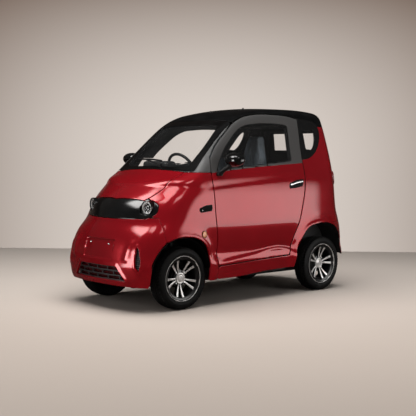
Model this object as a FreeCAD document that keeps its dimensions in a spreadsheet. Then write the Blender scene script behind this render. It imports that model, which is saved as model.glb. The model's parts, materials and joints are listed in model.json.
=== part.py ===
import FreeCAD, Part
import math
import os

os.makedirs("parts", exist_ok=True)
doc = FreeCAD.newDocument("microcar")
V = FreeCAD.Vector

# Frame: +Z up, -Y is the front of the car, +X is its left side.
# The origin is on the ground under the middle of the car. Millimetres.

# Driving dimensions.
DIMENSIONS = {
    "wheelbase": 1742.5,
    "front_axle": -833.0,
    "tyre_radius": 255.0,
    "tyre_width": 145.0,
    "track_half": 478.5,
    "rim_radius": 160.0,
    "rim_width": 112.0,
    "rim_wall": 8.0,
    "hub_radius": 46.0,
    "hub_bore": 14.1,
    "stub_radius": 14.0,
    "kingpin": 378.0,
    "door_wall": 46.0,
    "door_hem": 14.0,
    "side_wall": 26.0,
    "roof_wall": 34.0,
    "frame_wall": 30.0,
    "hood_wall": 24.0,
    "bumper_wall": 26.0,
    "glass_wall": 5.0,
    "glass_set": 3.0,
    "door_gap": 8.0,
    "panel_gap": 5.0,
    "fit_gap": 0.4,
    "rail_offset": 220.0,
    "rail_width": 40.0,
    "rail_height": 60.0,
    "rail_base": 164.7,
    "floor_top": 250.0,
    "floor_wall": 15.0,
    "floor_half": 526.0,
    "lamp_radius": 52.0,
    "lamp_offset": 366.0,
    "lamp_height": 824.0,
    "plate_screws": 246.0,
    "plate_screw_hole": 3.2,
    "steering_radius": 175.0,
    "steering_grip": 14.0,
    "column_tilt": 26.0,
    "steering_offset": -215.0,
    "stud_radius": 7.0,
    "stud_length": 8.0,
    "stud_boss": 12.0,
    "stud_rise": 3.5,
    "marker_rise": 5.0,
    "reflector_radius": 30.0,
    "handle_rise": 9.0,
    "tailgate_hinge_y": 1104.0,
    "tailgate_hinge_z": 1527.0,
    "tailgate_barrel": 7.0,
}
sheet = doc.addObject("Spreadsheet::Sheet", "dims")
for row, (alias, value) in enumerate(DIMENSIONS.items(), 1):
    sheet.set("A%d" % row, alias)
    sheet.set("B%d" % row, str(value))
    sheet.setAlias("B%d" % row, alias)
doc.recompute()


def size(alias):
    return float(sheet.get(alias))


# The skin of the body: smooth curves joined by rounded edges.
def curve(points):
    steps = [b[0] - a[0] for a, b in zip(points, points[1:])]
    rises = [(b[1] - a[1]) / s for a, b, s in zip(points, points[1:], steps)]
    slopes = [rises[0]]
    for i in range(1, len(points) - 1):
        blend = rises[i - 1] * steps[i] + rises[i] * steps[i - 1]
        slopes.append(blend / (steps[i - 1] + steps[i]))
    slopes.append(rises[-1])

    def value(at):
        at = min(max(at, points[0][0]), points[-1][0])
        i = 0
        while i < len(steps) - 1 and at > points[i + 1][0]:
            i += 1
        s = steps[i]
        f = (at - points[i][0]) / s
        start = (1 + 2 * f) * (1 - f) ** 2 * points[i][1] + f * (1 - f) ** 2 * s * slopes[i]
        end = f * f * (3 - 2 * f) * points[i + 1][1] + f * f * (f - 1) * s * slopes[i + 1]
        return start + end

    return value


# Half width of the body along its length.
half_width = curve([(-1312, 497), (-1162, 542), (-962, 575), (-762, 587), (-462, 584), (38, 592),
                    (538, 589), (838, 584), (1088, 567), (1338, 527)])
# How far the side leans in, by height.
side_lean = curve([(150, -50), (220, -20), (300, -8), (360, -6), (430, -22), (520, -14), (650, -2),
                   (800, 0), (950, -3), (1050, -12), (1130, -28), (1250, -55), (1400, -95),
                   (1550, -138), (1680, -180)])
# Middle of the nose and how it bows back, by height.
front_middle = curve([(150, -1242), (220, -1280), (320, -1295), (450, -1294), (550, -1272),
                      (620, -1247), (700, -1212), (760, -1194), (820, -1174), (900, -1127),
                      (1000, -1042)])
front_bow = curve([(200, 0.28), (500, 0.30), (600, 0.42), (720, 0.66), (820, 0.74), (950, 0.8)])
# Middle of the tail and how it bows, by height.
rear_middle = curve([(150, 1248), (220, 1283), (320, 1298), (500, 1298), (600, 1278), (680, 1243),
                     (760, 1206), (860, 1184), (1000, 1170), (1170, 1158), (1370, 1136),
                     (1530, 1113), (1650, 1088)])
rear_bow = curve([(200, 0.22), (1700, 0.25)])
# Bonnet, windscreen and roof along the middle, and their crown.
top_middle = curve([(-1312, 720), (-1212, 820), (-1127, 910), (-1062, 955), (-962, 1018),
                    (-862, 1075), (-762, 1125), (-712, 1157), (-562, 1305), (-412, 1445),
                    (-262, 1560), (-112, 1628), (38, 1662), (238, 1688), (488, 1700),
                    (788, 1700), (988, 1685), (1138, 1660), (1338, 1600)])
crown = curve([(-1162, 50), (-862, 35), (-712, 45), (-462, 60), (-162, 40), (138, 30), (1138, 25)])

# Rounding radii: nose corners, tail corners, roof edge, extra on the bonnet edge.
ROUND_NOSE = 110.0
ROUND_TAIL = 100.0
ROUND_ROOF = 60.0
ROUND_BONNET = 50.0
# Flares round the wheel arches: along, up, radius, height, width.
FLARES = [(-860, 265, 335, 18, 60), (840, 285, 355, 22, 70)]


def blend_max(a, b, radius):
    near = max(radius - abs(a - b), 0) / radius
    return max(a, b) + near * near * radius / 4


def skin_value(x, y, z):
    """Signed distance, near enough, from the outer skin: below zero is inside."""
    x = abs(x)
    side = half_width(y) + side_lean(z)
    if z < 1100:
        fade = 1 / (1 + math.exp((z - 850) / 50.0))
        for cy, cz, radius, height, width in FLARES:
            away = (math.hypot(y - cy, z - cz) - radius) / width
            side += fade * height * math.exp(-away * away)
    g = x - side
    if y < 0:
        bow = front_bow(z) / 1000
        face = front_middle(z) + bow * x * x
        slope = (front_middle(z + 10) - front_middle(z - 10)) / 20
        other = (face - y) / math.sqrt(1 + slope * slope + (2 * bow * x) ** 2)
        g = blend_max(g, other, ROUND_NOSE)
    else:
        bow = rear_bow(z) / 1000
        face = rear_middle(z) - bow * x * x
        slope = (rear_middle(z + 10) - rear_middle(z - 10)) / 20
        other = (y - face) / math.sqrt(1 + slope * slope + (2 * bow * x) ** 2)
        g = blend_max(g, other, ROUND_TAIL)
    rise = crown(y)
    top = top_middle(y) - rise * (x / 450.0) ** 2
    slope = (top_middle(y + 10) - top_middle(y - 10)) / 20
    other = (z - top) / math.sqrt(1 + slope * slope + (2 * rise * x / 202500.0) ** 2)
    radius = ROUND_ROOF + ROUND_BONNET * min(max((1100 - z) / 200.0, 0), 1)
    return blend_max(g, other, radius)


def skin_point(ray, depth):
    start, way = ray
    low = 0.0
    high = 1700.0
    for _ in range(26):
        mid = (low + high) / 2
        p = start + way * mid
        if skin_value(p.x, p.y, p.z) < -depth:
            low = mid
        else:
            high = mid
    return start + way * low


# Families of straight lines that leave the inside of the car and cross its skin.
def nose_ray(z, degrees):
    a = math.radians(degrees)
    return V(0, -662, z), V(math.sin(a), -math.cos(a), 0)


def tail_ray(z, degrees):
    a = math.radians(degrees)
    return V(0, 488, z), V(math.sin(a), math.cos(a), 0)


def cabin_ray(y, degrees):
    a = math.radians(degrees)
    return V(0, y, 750), V(math.cos(a), 0, math.sin(a))


def roof_ray(along, degrees):
    a = math.radians(degrees)
    tilt = math.radians(0.085 * max(along - 800, 0))
    flat = math.cos(tilt)
    return V(0, min(along, 800), 1000), V(math.cos(a) * flat, math.sin(tilt), math.sin(a) * flat)


def side_ray(y, z):
    return V(150, y, z), V(1, 0, 0)


def hood_ray(x, degrees):
    a = math.radians(degrees)
    return V(x, -722, 700), V(0, -math.cos(a), math.sin(a))


def spread(low, high, count):
    return [low + (high - low) * i / (count - 1) for i in range(count)]


def slab(ray, rows, columns, outer, inner):
    """A thick piece of the skin between two depths, over a grid of lines."""
    faces = []
    edges = []
    for depth in (outer, inner):
        grid = [[skin_point(ray(r, c), depth) for c in columns] for r in rows]
        surface = Part.BSplineSurface()
        surface.interpolate(grid)
        faces.append(surface.toShape())
        u0, u1, v0, v1 = surface.bounds()
        sides = [surface.uIso(u0), surface.uIso(u1), surface.vIso(v0), surface.vIso(v1)]
        edges.append([s.toShape() for s in sides])
    for a, b in zip(edges[0], edges[1]):
        faces.append(Part.makeRuledSurface(a, b))
    shell = Part.makeShell(faces)
    shell.sewShape()
    solid = Part.makeSolid(shell)
    if solid.Volume < 0:
        solid.reverse()
    return solid


# Flat outlines: lists of runs, each run straight (2 points) or a smooth line (more).
def to_space(plane, a, b, at):
    if plane == "x":
        return V(at, a, b)
    if plane == "y":
        return V(a, at, b)
    return V(a, b, at)


def prism(plane, runs, low, high):
    edges = []
    for run in runs:
        points = [to_space(plane, a, b, low) for a, b in run]
        if len(points) == 2:
            edges.append(Part.makeLine(points[0], points[1]))
        else:
            line = Part.BSplineCurve()
            line.interpolate(points)
            edges.append(line.toShape())
    face = Part.Face(Part.Wire(edges))
    return face.extrude(to_space(plane, 0, 0, high - low))


def grown(runs, distance):
    """The same outline moved outwards by a distance."""
    loop = [p for run in runs for p in run[:-1]]
    area = sum(a[0] * b[1] - b[0] * a[1] for a, b in zip(loop, loop[1:] + loop[:1]))
    turn = 1 if area > 0 else -1
    moved = {}
    for i, (a, b) in enumerate(loop):
        before = loop[i - 1]
        after = loop[(i + 1) % len(loop)]
        n1 = V(b - before[1], before[0] - a, 0).normalize() * turn
        n2 = V(after[1] - b, a - after[0], 0).normalize() * turn
        total = n1 + n2
        scale = 2 * distance / max(total.Length ** 2, 0.6)
        moved[(a, b)] = (a + total.x * scale, b + total.y * scale)
    return [[moved[p] for p in run] for run in runs]


def mirrored(shape):
    return shape.mirror(V(0, 0, 0), V(1, 0, 0))


def both(shape):
    return Part.makeCompound([shape, mirrored(shape)])


def add(label, shape):
    item = doc.addObject("Part::Feature", label)
    item.Label = label
    item.Shape = shape
    return item


def biggest(shape):
    return max(shape.Solids, key=lambda s: s.Volume)


wheelbase = size("wheelbase")
front_axle = size("front_axle")
rear_axle_line = front_axle + wheelbase
tyre_radius = size("tyre_radius")
half_door_gap = size("door_gap") / 2
half_gap = size("panel_gap") / 2
fit = size("fit_gap")

# Outlines seen from the side: along, up.
DOOR = [
    [(-479, 550), (-478, 370), (-473, 333)],
    [(-473, 333), (-94, 352), (398, 371)],
    [(398, 371), (419, 420), (469, 545), (529, 659), (576, 820), (606, 960), (617, 1100),
     (610, 1220), (617, 1350), (634, 1483), (646, 1602)],
    [(646, 1602), (546, 1619), (310, 1629), (51, 1615), (-114, 1575), (-209, 1527),
     (-292, 1464), (-463, 1314), (-530, 1236)],
    [(-530, 1236), (-549, 1160), (-553, 1109), (-537, 973), (-516, 763), (-479, 550)],
]
DOOR_WINDOW = [
    [(-490, 1124), (-443, 1206), (-372, 1300), (-266, 1399), (-154, 1484), (-86, 1514),
     (62, 1537), (280, 1548), (416, 1545), (484, 1532)],
    [(484, 1532), (478, 1440), (466, 1330), (462, 1214)],
    [(462, 1214), (47, 1174), (-233, 1151), (-490, 1124)],
]
QUARTER = [
    [(600, 1223), (719, 1244), (805, 1287), (891, 1372), (929, 1445), (932, 1524), (881, 1576),
     (773, 1598), (600, 1610)],
    [(600, 1610), (600, 1223)],
]
QUARTER_LIGHT = [
    [(690, 1326), (693, 1497)],
    [(693, 1497), (856, 1503)],
    [(856, 1503), (850, 1440), (834, 1394), (800, 1345), (770, 1322)],
    [(770, 1322), (690, 1326)],
]
FRONT_ARCH = [
    [(-575, 100), (-578, 358)],
    [(-578, 358), (-590, 454), (-640, 530), (-717, 574), (-825, 595), (-952, 586),
     (-1051, 542), (-1122, 448), (-1161, 379)],
    [(-1161, 379), (-1161, 100)],
    [(-1161, 100), (-575, 100)],
]
REAR_ARCH = [
    [(1162, 100), (1162, 339)],
    [(1162, 339), (1118, 530), (1048, 602), (916, 644), (778, 644), (638, 608), (558, 518),
     (496, 417), (458, 282)],
    [(458, 282), (455, 100)],
    [(455, 100), (1162, 100)],
]
REPEATER = [
    [(-698, 821), (-640, 840), (-563, 848)],
    [(-563, 848), (-558, 820), (-563, 796)],
    [(-563, 796), (-683, 784)],
    [(-683, 784), (-702, 802), (-698, 821)],
]
HANDLE = [
    [(392, 966), (388, 1000), (398, 1018)],
    [(398, 1018), (500, 1044), (588, 1052)],
    [(588, 1052), (584, 1018), (570, 986)],
    [(570, 986), (480, 972), (392, 966)],
]
# Outlines seen from the front: across, up.
BAND = [
    [(-395, 875), (-323, 895), (0, 886), (323, 895), (395, 875)],
    [(395, 875), (445, 840), (454, 792), (426, 757), (382, 737)],
    [(382, 737), (0, 731), (-382, 737)],
    [(-382, 737), (-426, 757), (-454, 792), (-445, 840), (-395, 875)],
]
LOWER_MOUTH = [
    [(-240, 358), (240, 358)],
    [(240, 358), (335, 245)],
    [(335, 245), (-335, 245)],
    [(-335, 245), (-240, 358)],
]
PLATE_RECESS = [
    [(-188, 412), (188, 412)],
    [(188, 412), (188, 566)],
    [(188, 566), (-188, 566)],
    [(-188, 566), (-188, 412)],
]
CORNER_SLOT = [
    [(428, 526), (452, 505)],
    [(452, 505), (478, 380), (468, 330)],
    [(468, 330), (440, 360)],
    [(440, 360), (428, 526)],
]
# Outlines seen from above: across, along.
HOOD = [
    [(0, -1108), (184, -1083), (309, -1054)],
    [(309, -1054), (352, -999), (398, -890), (411, -790), (413, -722)],
    [(413, -722), (300, -737), (0, -752), (-300, -737), (-413, -722)],
    [(-413, -722), (-411, -790), (-398, -890), (-352, -999), (-309, -1054)],
    [(-309, -1054), (-184, -1083), (0, -1108)],
]
SCREEN_FRAME = [
    [(-500, -690), (-413, -722), (-300, -737), (0, -752), (300, -737), (413, -722), (500, -690)],
    [(500, -690), (470, -504), (436, -214)],
    [(436, -214), (0, -264), (-436, -214)],
    [(-436, -214), (-470, -504), (-500, -690)],
]
SCREEN_GLASS = [
    [(-404, -668), (-200, -702), (0, -708), (200, -702), (404, -668)],
    [(404, -668), (402, -504), (368, -300)],
    [(368, -300), (0, -322), (-368, -300)],
    [(-368, -300), (-402, -504), (-404, -668)],
]
# Outlines seen from the back: across, up.
TAILGATE = [
    [(-430, 575), (430, 575)],
    [(430, 575), (438, 1000), (432, 1200), (385, 1534)],
    [(385, 1534), (-385, 1534)],
    [(-385, 1534), (-432, 1200), (-438, 1000), (-430, 575)],
]
REAR_WINDOW = [
    [(-352, 1165), (352, 1165)],
    [(352, 1165), (345, 1300), (318, 1455)],
    [(318, 1455), (-318, 1455)],
    [(-318, 1455), (-345, 1300), (-352, 1165)],
]
TAIL_LAMP = [
    [(478, 985), (515, 1000), (530, 1050), (524, 1105), (492, 1125), (466, 1100), (460, 1045),
     (463, 1000), (478, 985)],
]

far = 900
door_cut = prism("x", grown(DOOR, half_door_gap), 150, far)
arch_cut_front = prism("x", FRONT_ARCH, 150, far)
arch_cut_rear = prism("x", REAR_ARCH, 150, far)
band_cut = prism("y", grown(BAND, half_gap), -1500, -900)
hood_cut = prism("z", grown(HOOD, half_gap), 800, 1400)
quarter_cut = prism("x", QUARTER, 150, far)
belt = 1110.0
seam = -1039.0

# Left side: front wing with the sill, then the quarter panel.
nose_rows = spread(196, 1150, 34)
wall = size("side_wall")
wing_slab = slab(nose_ray, nose_rows, spread(14, 122, 30), 0, wall)
sill_slab = slab(side_ray, spread(-640, 500, 20), spread(196, 420, 14), 0, wall)
wing_keep = Part.makeBox(500, 700, belt - 196, V(150, -1130, 196))
wing = wing_slab.common(wing_keep)
wing = wing.cut([door_cut, arch_cut_front, band_cut, hood_cut])
wing = wing.cut(Part.makeBox(700, 600, 746 + half_gap, V(0, seam - 600 + half_gap, 0)))
wing_end = -478.0
sill_join_up = 420.0
wing = wing.cut(Part.makeBox(700, 900, sill_join_up, V(0, wing_end, 0)))
sill_line = [
    [(-700, 214), (-590, 219), (-230, 226), (45, 248), (239, 256), (560, 262)],
    [(560, 262), (560, 900)],
    [(560, 900), (-700, 900)],
    [(-700, 900), (-700, 214)],
]
sill_keep = prism("x", sill_line, 150, far)
wing = biggest(wing.common(sill_keep.fuse(Part.makeBox(900, 1200, 2000, V(0, -1300, 600)))))
marker_rise = size("marker_rise")
marker_slab = slab(nose_ray, spread(765, 870, 8), spread(82, 110, 8), -marker_rise, marker_rise)
wing = wing.fuse(marker_slab.common(prism("x", REPEATER, 150, far)))
reflector_seat = skin_point((V(0, -644, 606), V(1, 0, 0)), marker_rise)
wing = wing.fuse(Part.makeCylinder(size("reflector_radius"), 2 * marker_rise, reflector_seat, V(1, 0, 0)))
fender_left = add("fender_left", wing)
fender_right = add("fender_right", mirrored(wing))

tail_rows = spread(300, 1625, 40)
quarter_slab = slab(tail_ray, tail_rows, spread(20, 121, 28), 0, wall)
sill_join = 330.0
quarter = quarter_slab.common(Part.makeBox(900, 1500, 1400, V(0, 300, sill_join)))
sill = sill_slab.common(sill_keep)
sill_front = Part.makeBox(900, 300 - wing_end, sill_join_up, V(0, wing_end, 0))
sill_back = Part.makeBox(900, 200, sill_join, V(0, 299, 0))
sill = sill.common(sill_front.fuse(sill_back))
side_panel = quarter.fuse(sill)
side_panel = side_panel.cut([door_cut, arch_cut_rear, quarter_cut])
roof_edge = 1541.0
side_panel = side_panel.cut(Part.makeBox(900, 1500, 500, V(0, 200, roof_edge)))
tail_cut = prism("y", grown(TAILGATE, half_door_gap), 900, 1500)
side_panel = side_panel.cut(tail_cut)
side_panel = side_panel.cut(Part.makeBox(455 + half_gap, 500, 565, V(0, 1000, 0)))
side_panel = side_panel.cut(Part.makeBox(380, 500, 1400, V(0, 1000, 300)))
lamp_cut = prism("y", grown(TAIL_LAMP, fit), 900, 1500)
quarter_body = biggest(side_panel.cut(lamp_cut))
quarter_left = add("quarter_left", quarter_body)
quarter_right = add("quarter_right", mirrored(quarter_body))

# Doors: an outer hem over a smaller inner frame, with the window cut.
window_cut = prism("x", DOOR_WINDOW, 150, far)
door_rows = spread(-640, 720, 32)
door_columns = spread(-44, 70, 26)
hem = size("door_hem")
hem_slab = slab(cabin_ray, door_rows, door_columns, 0, hem)
core_slab = slab(cabin_ray, door_rows, door_columns, hem - 1, size("door_wall"))
door_skin = hem_slab.common(prism("x", grown(DOOR, -half_door_gap), 150, far))
door_core = core_slab.common(prism("x", grown(DOOR, -half_door_gap - 10), 150, far))
door = door_skin.fuse(door_core).cut(window_cut)
handle_slab = slab(cabin_ray, spread(365, 615, 10), spread(14, 33, 8), -size("handle_rise"), hem / 2)
door = biggest(door.fuse(handle_slab.common(prism("x", HANDLE, 150, far))))
# Hinge leaves: height, reach across. They end just clear of the firewall.
HINGE_LEAVES = [(440, 530), (640, 550)]
firewall_back = -490.0
running_gap = 0.3
for low, reach in HINGE_LEAVES:
    door = door.fuse(Part.makeBox(reach - 470, 34, 40, V(470, firewall_back + running_gap, low)))
door_left = add("door_left", door)
door_right = add("door_right", mirrored(door))
set_in = size("glass_set")
pane_slab = slab(cabin_ray, spread(-560, 560, 24), spread(30, 70, 12), set_in,
                 set_in + size("glass_wall"))
pane = biggest(pane_slab.common(prism("x", grown(DOOR_WINDOW, -fit), 150, far)))
door_glass_left = add("door_glass_left", pane)
door_glass_right = add("door_glass_right", mirrored(pane))

# Screen frame, screen, pillar trims, roof and quarter windows.
screen_rows = spread(-800, -150, 26)
frame_slab = slab(cabin_ray, screen_rows, spread(22, 158, 33), 0, size("frame_wall"))
frame_line = prism("z", SCREEN_FRAME, 900, 1700)
screen_cut = prism("z", SCREEN_GLASS, 900, 1750)
above_belt = Part.makeBox(1400, 1200, 800, V(-700, -1000, belt + fit))
screen_frame = frame_slab.common(frame_line).common(above_belt).cut(screen_cut)
screen_frame = screen_frame.cut([door_cut, mirrored(door_cut), hood_cut])
windshield_frame = add("windshield_frame", biggest(screen_frame))
glass_slab = slab(cabin_ray, spread(-760, -240, 22), spread(35, 145, 27), set_in,
                  set_in + size("glass_wall"))
screen = biggest(glass_slab.common(prism("z", grown(SCREEN_GLASS, -fit), 900, 1750)))
windshield = add("windshield", screen)

pillar_slab = slab(cabin_ray, screen_rows, spread(20, 75, 18), 0, size("frame_wall"))
pillar = pillar_slab.cut(prism("z", grown(SCREEN_FRAME, fit), 900, 1700))
pillar = pillar.common(Part.makeBox(700, 800, 800, V(200, -760, belt + fit)))
pillar = pillar.cut([door_cut, hood_cut])
roof_front = [
    [(-700, -210), (-436, -210)],
    [(-436, -210), (0, -260), (436, -210)],
    [(436, -210), (700, -210)],
    [(700, -210), (700, 1400)],
    [(700, 1400), (-700, 1400)],
    [(-700, 1400), (-700, -210)],
]
roof_keep = prism("z", roof_front, 1000, 1900)
pillar = biggest(pillar.cut(prism("z", grown(roof_front, fit), 1000, 1900)))
pillar_trims = add("pillar_trims", both(pillar))

roof_slab = slab(roof_ray, spread(-300, 1190, 40), spread(28, 152, 33), 0, size("roof_wall"))
roof = roof_slab.common(roof_keep)
roof = roof.common(Part.makeBox(1400, 2000, 400, V(-700, -500, roof_edge + fit)))
roof = roof.cut([door_cut, mirrored(door_cut)])
quarter_above = prism("x", grown(QUARTER, fit), 150, far)
roof = roof.cut([quarter_above, mirrored(quarter_above)])
roof = biggest(roof)
stud_radius = size("stud_radius")
for y in (-40, 375):
    root = skin_point((V(0, y, 1000), V(0, 0, 1)), 10)
    boss_height = 10 + size("stud_rise")
    roof = roof.fuse(Part.makeCylinder(size("stud_boss"), boss_height, root))
    roof = roof.fuse(Part.makeCylinder(stud_radius, size("stud_length") + boss_height, root))
    print("stud %d foot %.2f" % (y, root.z + boss_height))
hinge_seat = Part.makeCylinder(size("tailgate_barrel") + fit, 400,
                               V(-200, size("tailgate_hinge_y"), size("tailgate_hinge_z")), V(1, 0, 0))
for x in (-190, 130):
    bracket = Part.makeBox(60, 18, 24, V(x, size("tailgate_hinge_y") - 14, size("tailgate_hinge_z") + 4))
    roof = roof.fuse(bracket.cut(hinge_seat))
roof_panel = add("roof_panel", roof)

side_glass_slab = slab(cabin_ray, spread(560, 960, 14), spread(35, 72, 14), 0.5, 20)
side_glass = side_glass_slab.common(prism("x", grown(QUARTER, -fit), 150, far))
side_glass = side_glass.cut(prism("x", grown(DOOR, half_door_gap), 150, far))
thin = slab(cabin_ray, spread(560, 960, 14), spread(35, 72, 14), 7, 40)
side_glass = side_glass.cut(thin.common(prism("x", QUARTER_LIGHT, 150, far)))
quarter_windows = add("quarter_windows", both(biggest(side_glass)))

# Bonnet, lamp band and lamps, front bumper, grille.
hood_slab = slab(hood_ray, spread(-425, 425, 25), spread(17, 96, 22), 0, size("hood_wall"))
hood_shape = biggest(hood_slab.common(prism("z", grown(HOOD, -half_gap), 800, 1400)))
leaf_slab = slab(hood_ray, spread(260, 370, 6), spread(70, 96, 8), 15, size("hood_wall"))
leaf = leaf_slab.common(prism("z", grown(HOOD, half_gap - running_gap), 800, 1400))
leaf = leaf.common(Part.makeBox(60, 60, 400, V(285, -775, 900)))
hood = add("hood", biggest(hood_shape.fuse([leaf, mirrored(leaf)])))
front_columns = spread(-78, 78, 44)
band_slab = slab(nose_ray, spread(700, 925, 12), front_columns, 0, size("frame_wall"))
band = band_slab.common(prism("y", grown(BAND, -half_gap / 2), -1500, -900)).cut(hood_cut)
lamp_turn = 10.0
lamp_out = V(math.sin(math.radians(lamp_turn)), -math.cos(math.radians(lamp_turn)), 0)
lamp_x = size("lamp_offset")
lamp_z = size("lamp_height")
lamp_seat = skin_point((V(lamp_x, -700, lamp_z), V(0, -1, 0)), 0)
lamp_radius = size("lamp_radius")
lamp_hole = Part.makeCylinder(lamp_radius + fit, 300, lamp_seat - lamp_out * 150, lamp_out)
band = band.cut([lamp_hole, mirrored(lamp_hole)])
lamp_band = add("lamp_band", biggest(band))
can = Part.makeCylinder(lamp_radius, 36, lamp_seat - lamp_out * 28, lamp_out)
dome = Part.makeSphere(120, lamp_seat - lamp_out * 102)
can = can.fuse(Part.makeCylinder(lamp_radius - 8, 40, lamp_seat - lamp_out * 20, lamp_out).common(dome))
headlamps = add("headlamps", both(can))

bumper_slab = slab(nose_ray, spread(190, 770, 30), front_columns, 0, size("bumper_wall"))
bumper = bumper_slab.common(Part.makeBox(1400, 600, 751, V(-700, seam - 600 - half_gap, 0)))
bumper = bumper.common(Part.makeBox(1400, 900, 746 - 200 - half_gap, V(-700, -1500, 200)))
bumper = bumper.cut([band_cut, arch_cut_front, mirrored(arch_cut_front)])
bumper = bumper.cut(prism("y", LOWER_MOUTH, -1500, -1000))
recess_slab = slab(nose_ray, spread(380, 600, 8), spread(-24, 24, 9), -20, 8)
bumper = bumper.cut(recess_slab.common(prism("y", PLATE_RECESS, -1500, -1000)))
slot_slab = slab(nose_ray, spread(300, 560, 10), spread(30, 62, 9), -20, 14)
slot = slot_slab.common(prism("y", CORNER_SLOT, -1500, -900))
bumper = bumper.cut([slot, mirrored(slot)])
screw_half = size("plate_screws") / 2
for x in (-screw_half, screw_half):
    bumper = bumper.cut(Part.makeCylinder(size("plate_screw_hole"), 300, V(x, -1400, 530), V(0, 1, 0)))
front_bumper = add("front_bumper", biggest(bumper))

mouth_slab = slab(nose_ray, spread(225, 380, 8), spread(-42, 42, 15), wall + 0.4, wall + 9)
grille_back = mouth_slab.common(prism("y", grown(LOWER_MOUTH, 12), -1500, -1000))
slat_slab = slab(nose_ray, spread(225, 380, 8), spread(-42, 42, 15), 8, wall + 1)
slat_slab = slat_slab.common(prism("y", grown(LOWER_MOUTH, -fit), -1500, -1000))
slats = []
for low in (262, 293, 324):
    slats.append(slat_slab.common(Part.makeBox(900, 900, 14, V(-450, -1500, low))))
lower_grille = add("lower_grille", grille_back.fuse(slats))

# Tail: rear bumper, tailgate, its window, tail lamps.
rear_columns = spread(-48, 48, 27)
tail_low = slab(tail_ray, spread(300, 600, 16), rear_columns, 0, size("bumper_wall"))
tail_low = tail_low.common(Part.makeBox(910 - 2 * half_gap, 900, 245, V(-455 + half_gap, 900, 320)))
tail_low = tail_low.cut(tail_cut)
for x in (-screw_half, screw_half):
    tail_low = tail_low.cut(Part.makeCylinder(size("plate_screw_hole"), 300, V(x, 1150, 440), V(0, 1, 0)))
rear_bumper = add("rear_bumper", biggest(tail_low))
gate_slab = slab(tail_ray, spread(550, 1530, 32), rear_columns, 0, size("side_wall"))
gate = gate_slab.common(prism("y", grown(TAILGATE, -half_door_gap), 900, 1500))
gate = gate.cut(prism("y", REAR_WINDOW, 900, 1500))
hinge_y = size("tailgate_hinge_y")
hinge_z = size("tailgate_hinge_z")
barrel_radius = size("tailgate_barrel")
for x in (-190, 130):
    gate = gate.fuse(Part.makeCylinder(barrel_radius, 60, V(x, hinge_y, hinge_z), V(1, 0, 0)))
tailgate = add("tailgate", biggest(gate))
rear_pane = slab(tail_ray, spread(1140, 1480, 12), spread(-38, 38, 17), set_in,
                 set_in + size("glass_wall"))
rear_pane = rear_pane.common(prism("y", grown(REAR_WINDOW, -fit), 900, 1500))
tailgate_glass = add("tailgate_glass", biggest(rear_pane))
lamp_slab = slab(tail_ray, spread(960, 1150, 10), spread(20, 60, 12), -4, 22)
tail_lamp = lamp_slab.common(prism("y", TAIL_LAMP, 900, 1500))
tail_lamps = add("tail_lamps", both(biggest(tail_lamp)))


# Mechanical pieces, from primitives bound to the sheet.
def bind(item, expressions):
    for name, text in expressions.items():
        item.setExpression(name, text)


def place(item, x, y, z, axis=None, degrees=0.0):
    turn = FreeCAD.Rotation(axis, degrees) if axis else FreeCAD.Rotation()
    item.Placement = FreeCAD.Placement(V(0, 0, 0), turn)
    for name, text in zip("xyz", (x, y, z)):
        item.setExpression("Placement.Base." + name, str(text))


def box(name, length, width, height, x, y, z):
    item = doc.addObject("Part::Box", name)
    bind(item, {"Length": str(length), "Width": str(width), "Height": str(height)})
    place(item, x, y, z)
    return item


def rod(name, radius, height, x, y, z, axis=None, degrees=0.0):
    item = doc.addObject("Part::Cylinder", name)
    bind(item, {"Radius": str(radius), "Height": str(height)})
    place(item, x, y, z, axis, degrees)
    return item


def fuse(name, items):
    item = doc.addObject("Part::MultiFuse", name)
    item.Shapes = items
    item.Label = name
    return item


def cut(name, base, tool):
    item = doc.addObject("Part::Cut", name)
    item.Base = base
    item.Tool = tool
    item.Label = name
    return item


ALONG_X = V(0, 1, 0)
ALONG_Y = V(1, 0, 0)
inner_wall = size("bumper_wall")
nose_reach = max(skin_point((V(x, -900, z), V(0, -1, 0)), inner_wall).y
                 for x in (200, 240) for z in (200, 230)) + 0.3
tail_reach = min(skin_point((V(x, 900, z), V(0, 1, 0)), inner_wall).y
                 for x in (200, 240) for z in (320, 350)) - 0.3
rails = []
for side in (-1, 1):
    rails.append(box("rail%d" % (side + 1), "dims.rail_width", 2200, "dims.rail_height",
                     "%d * dims.rail_offset - dims.rail_width / 2" % side, -1100,
                     "dims.rail_base"))
for i, y in enumerate((-1080, -640, 560, 1040)):
    rails.append(box("cross%d" % i, "2 * dims.rail_offset", 50, "dims.rail_height - 10",
                     "-dims.rail_offset", y, "dims.rail_base + 5"))
outrigger_rise = 40
for side in (-1, 1):
    for i, y in enumerate((-440, 330)):
        rails.append(box("outrigger%d_%d" % (i, side + 1), 220, 45,
                         "dims.floor_top - dims.floor_wall - dims.rail_base - %d" % outrigger_rise,
                         "%d * 340 - 110" % side, y, "dims.rail_base + %d" % outrigger_rise))
for side in (-1, 1):
    rails.append(box("horn%d" % (side + 1), 40, -1090 - nose_reach, 30, "%d * 220 - 20" % side,
                     nose_reach, 200))
    rails.append(box("tail_horn%d" % (side + 1), 40, tail_reach - 1065, 150, "%d * 220 - 20" % side,
                     1065, 200))
chassis_frame = fuse("chassis_frame", rails)

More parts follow.
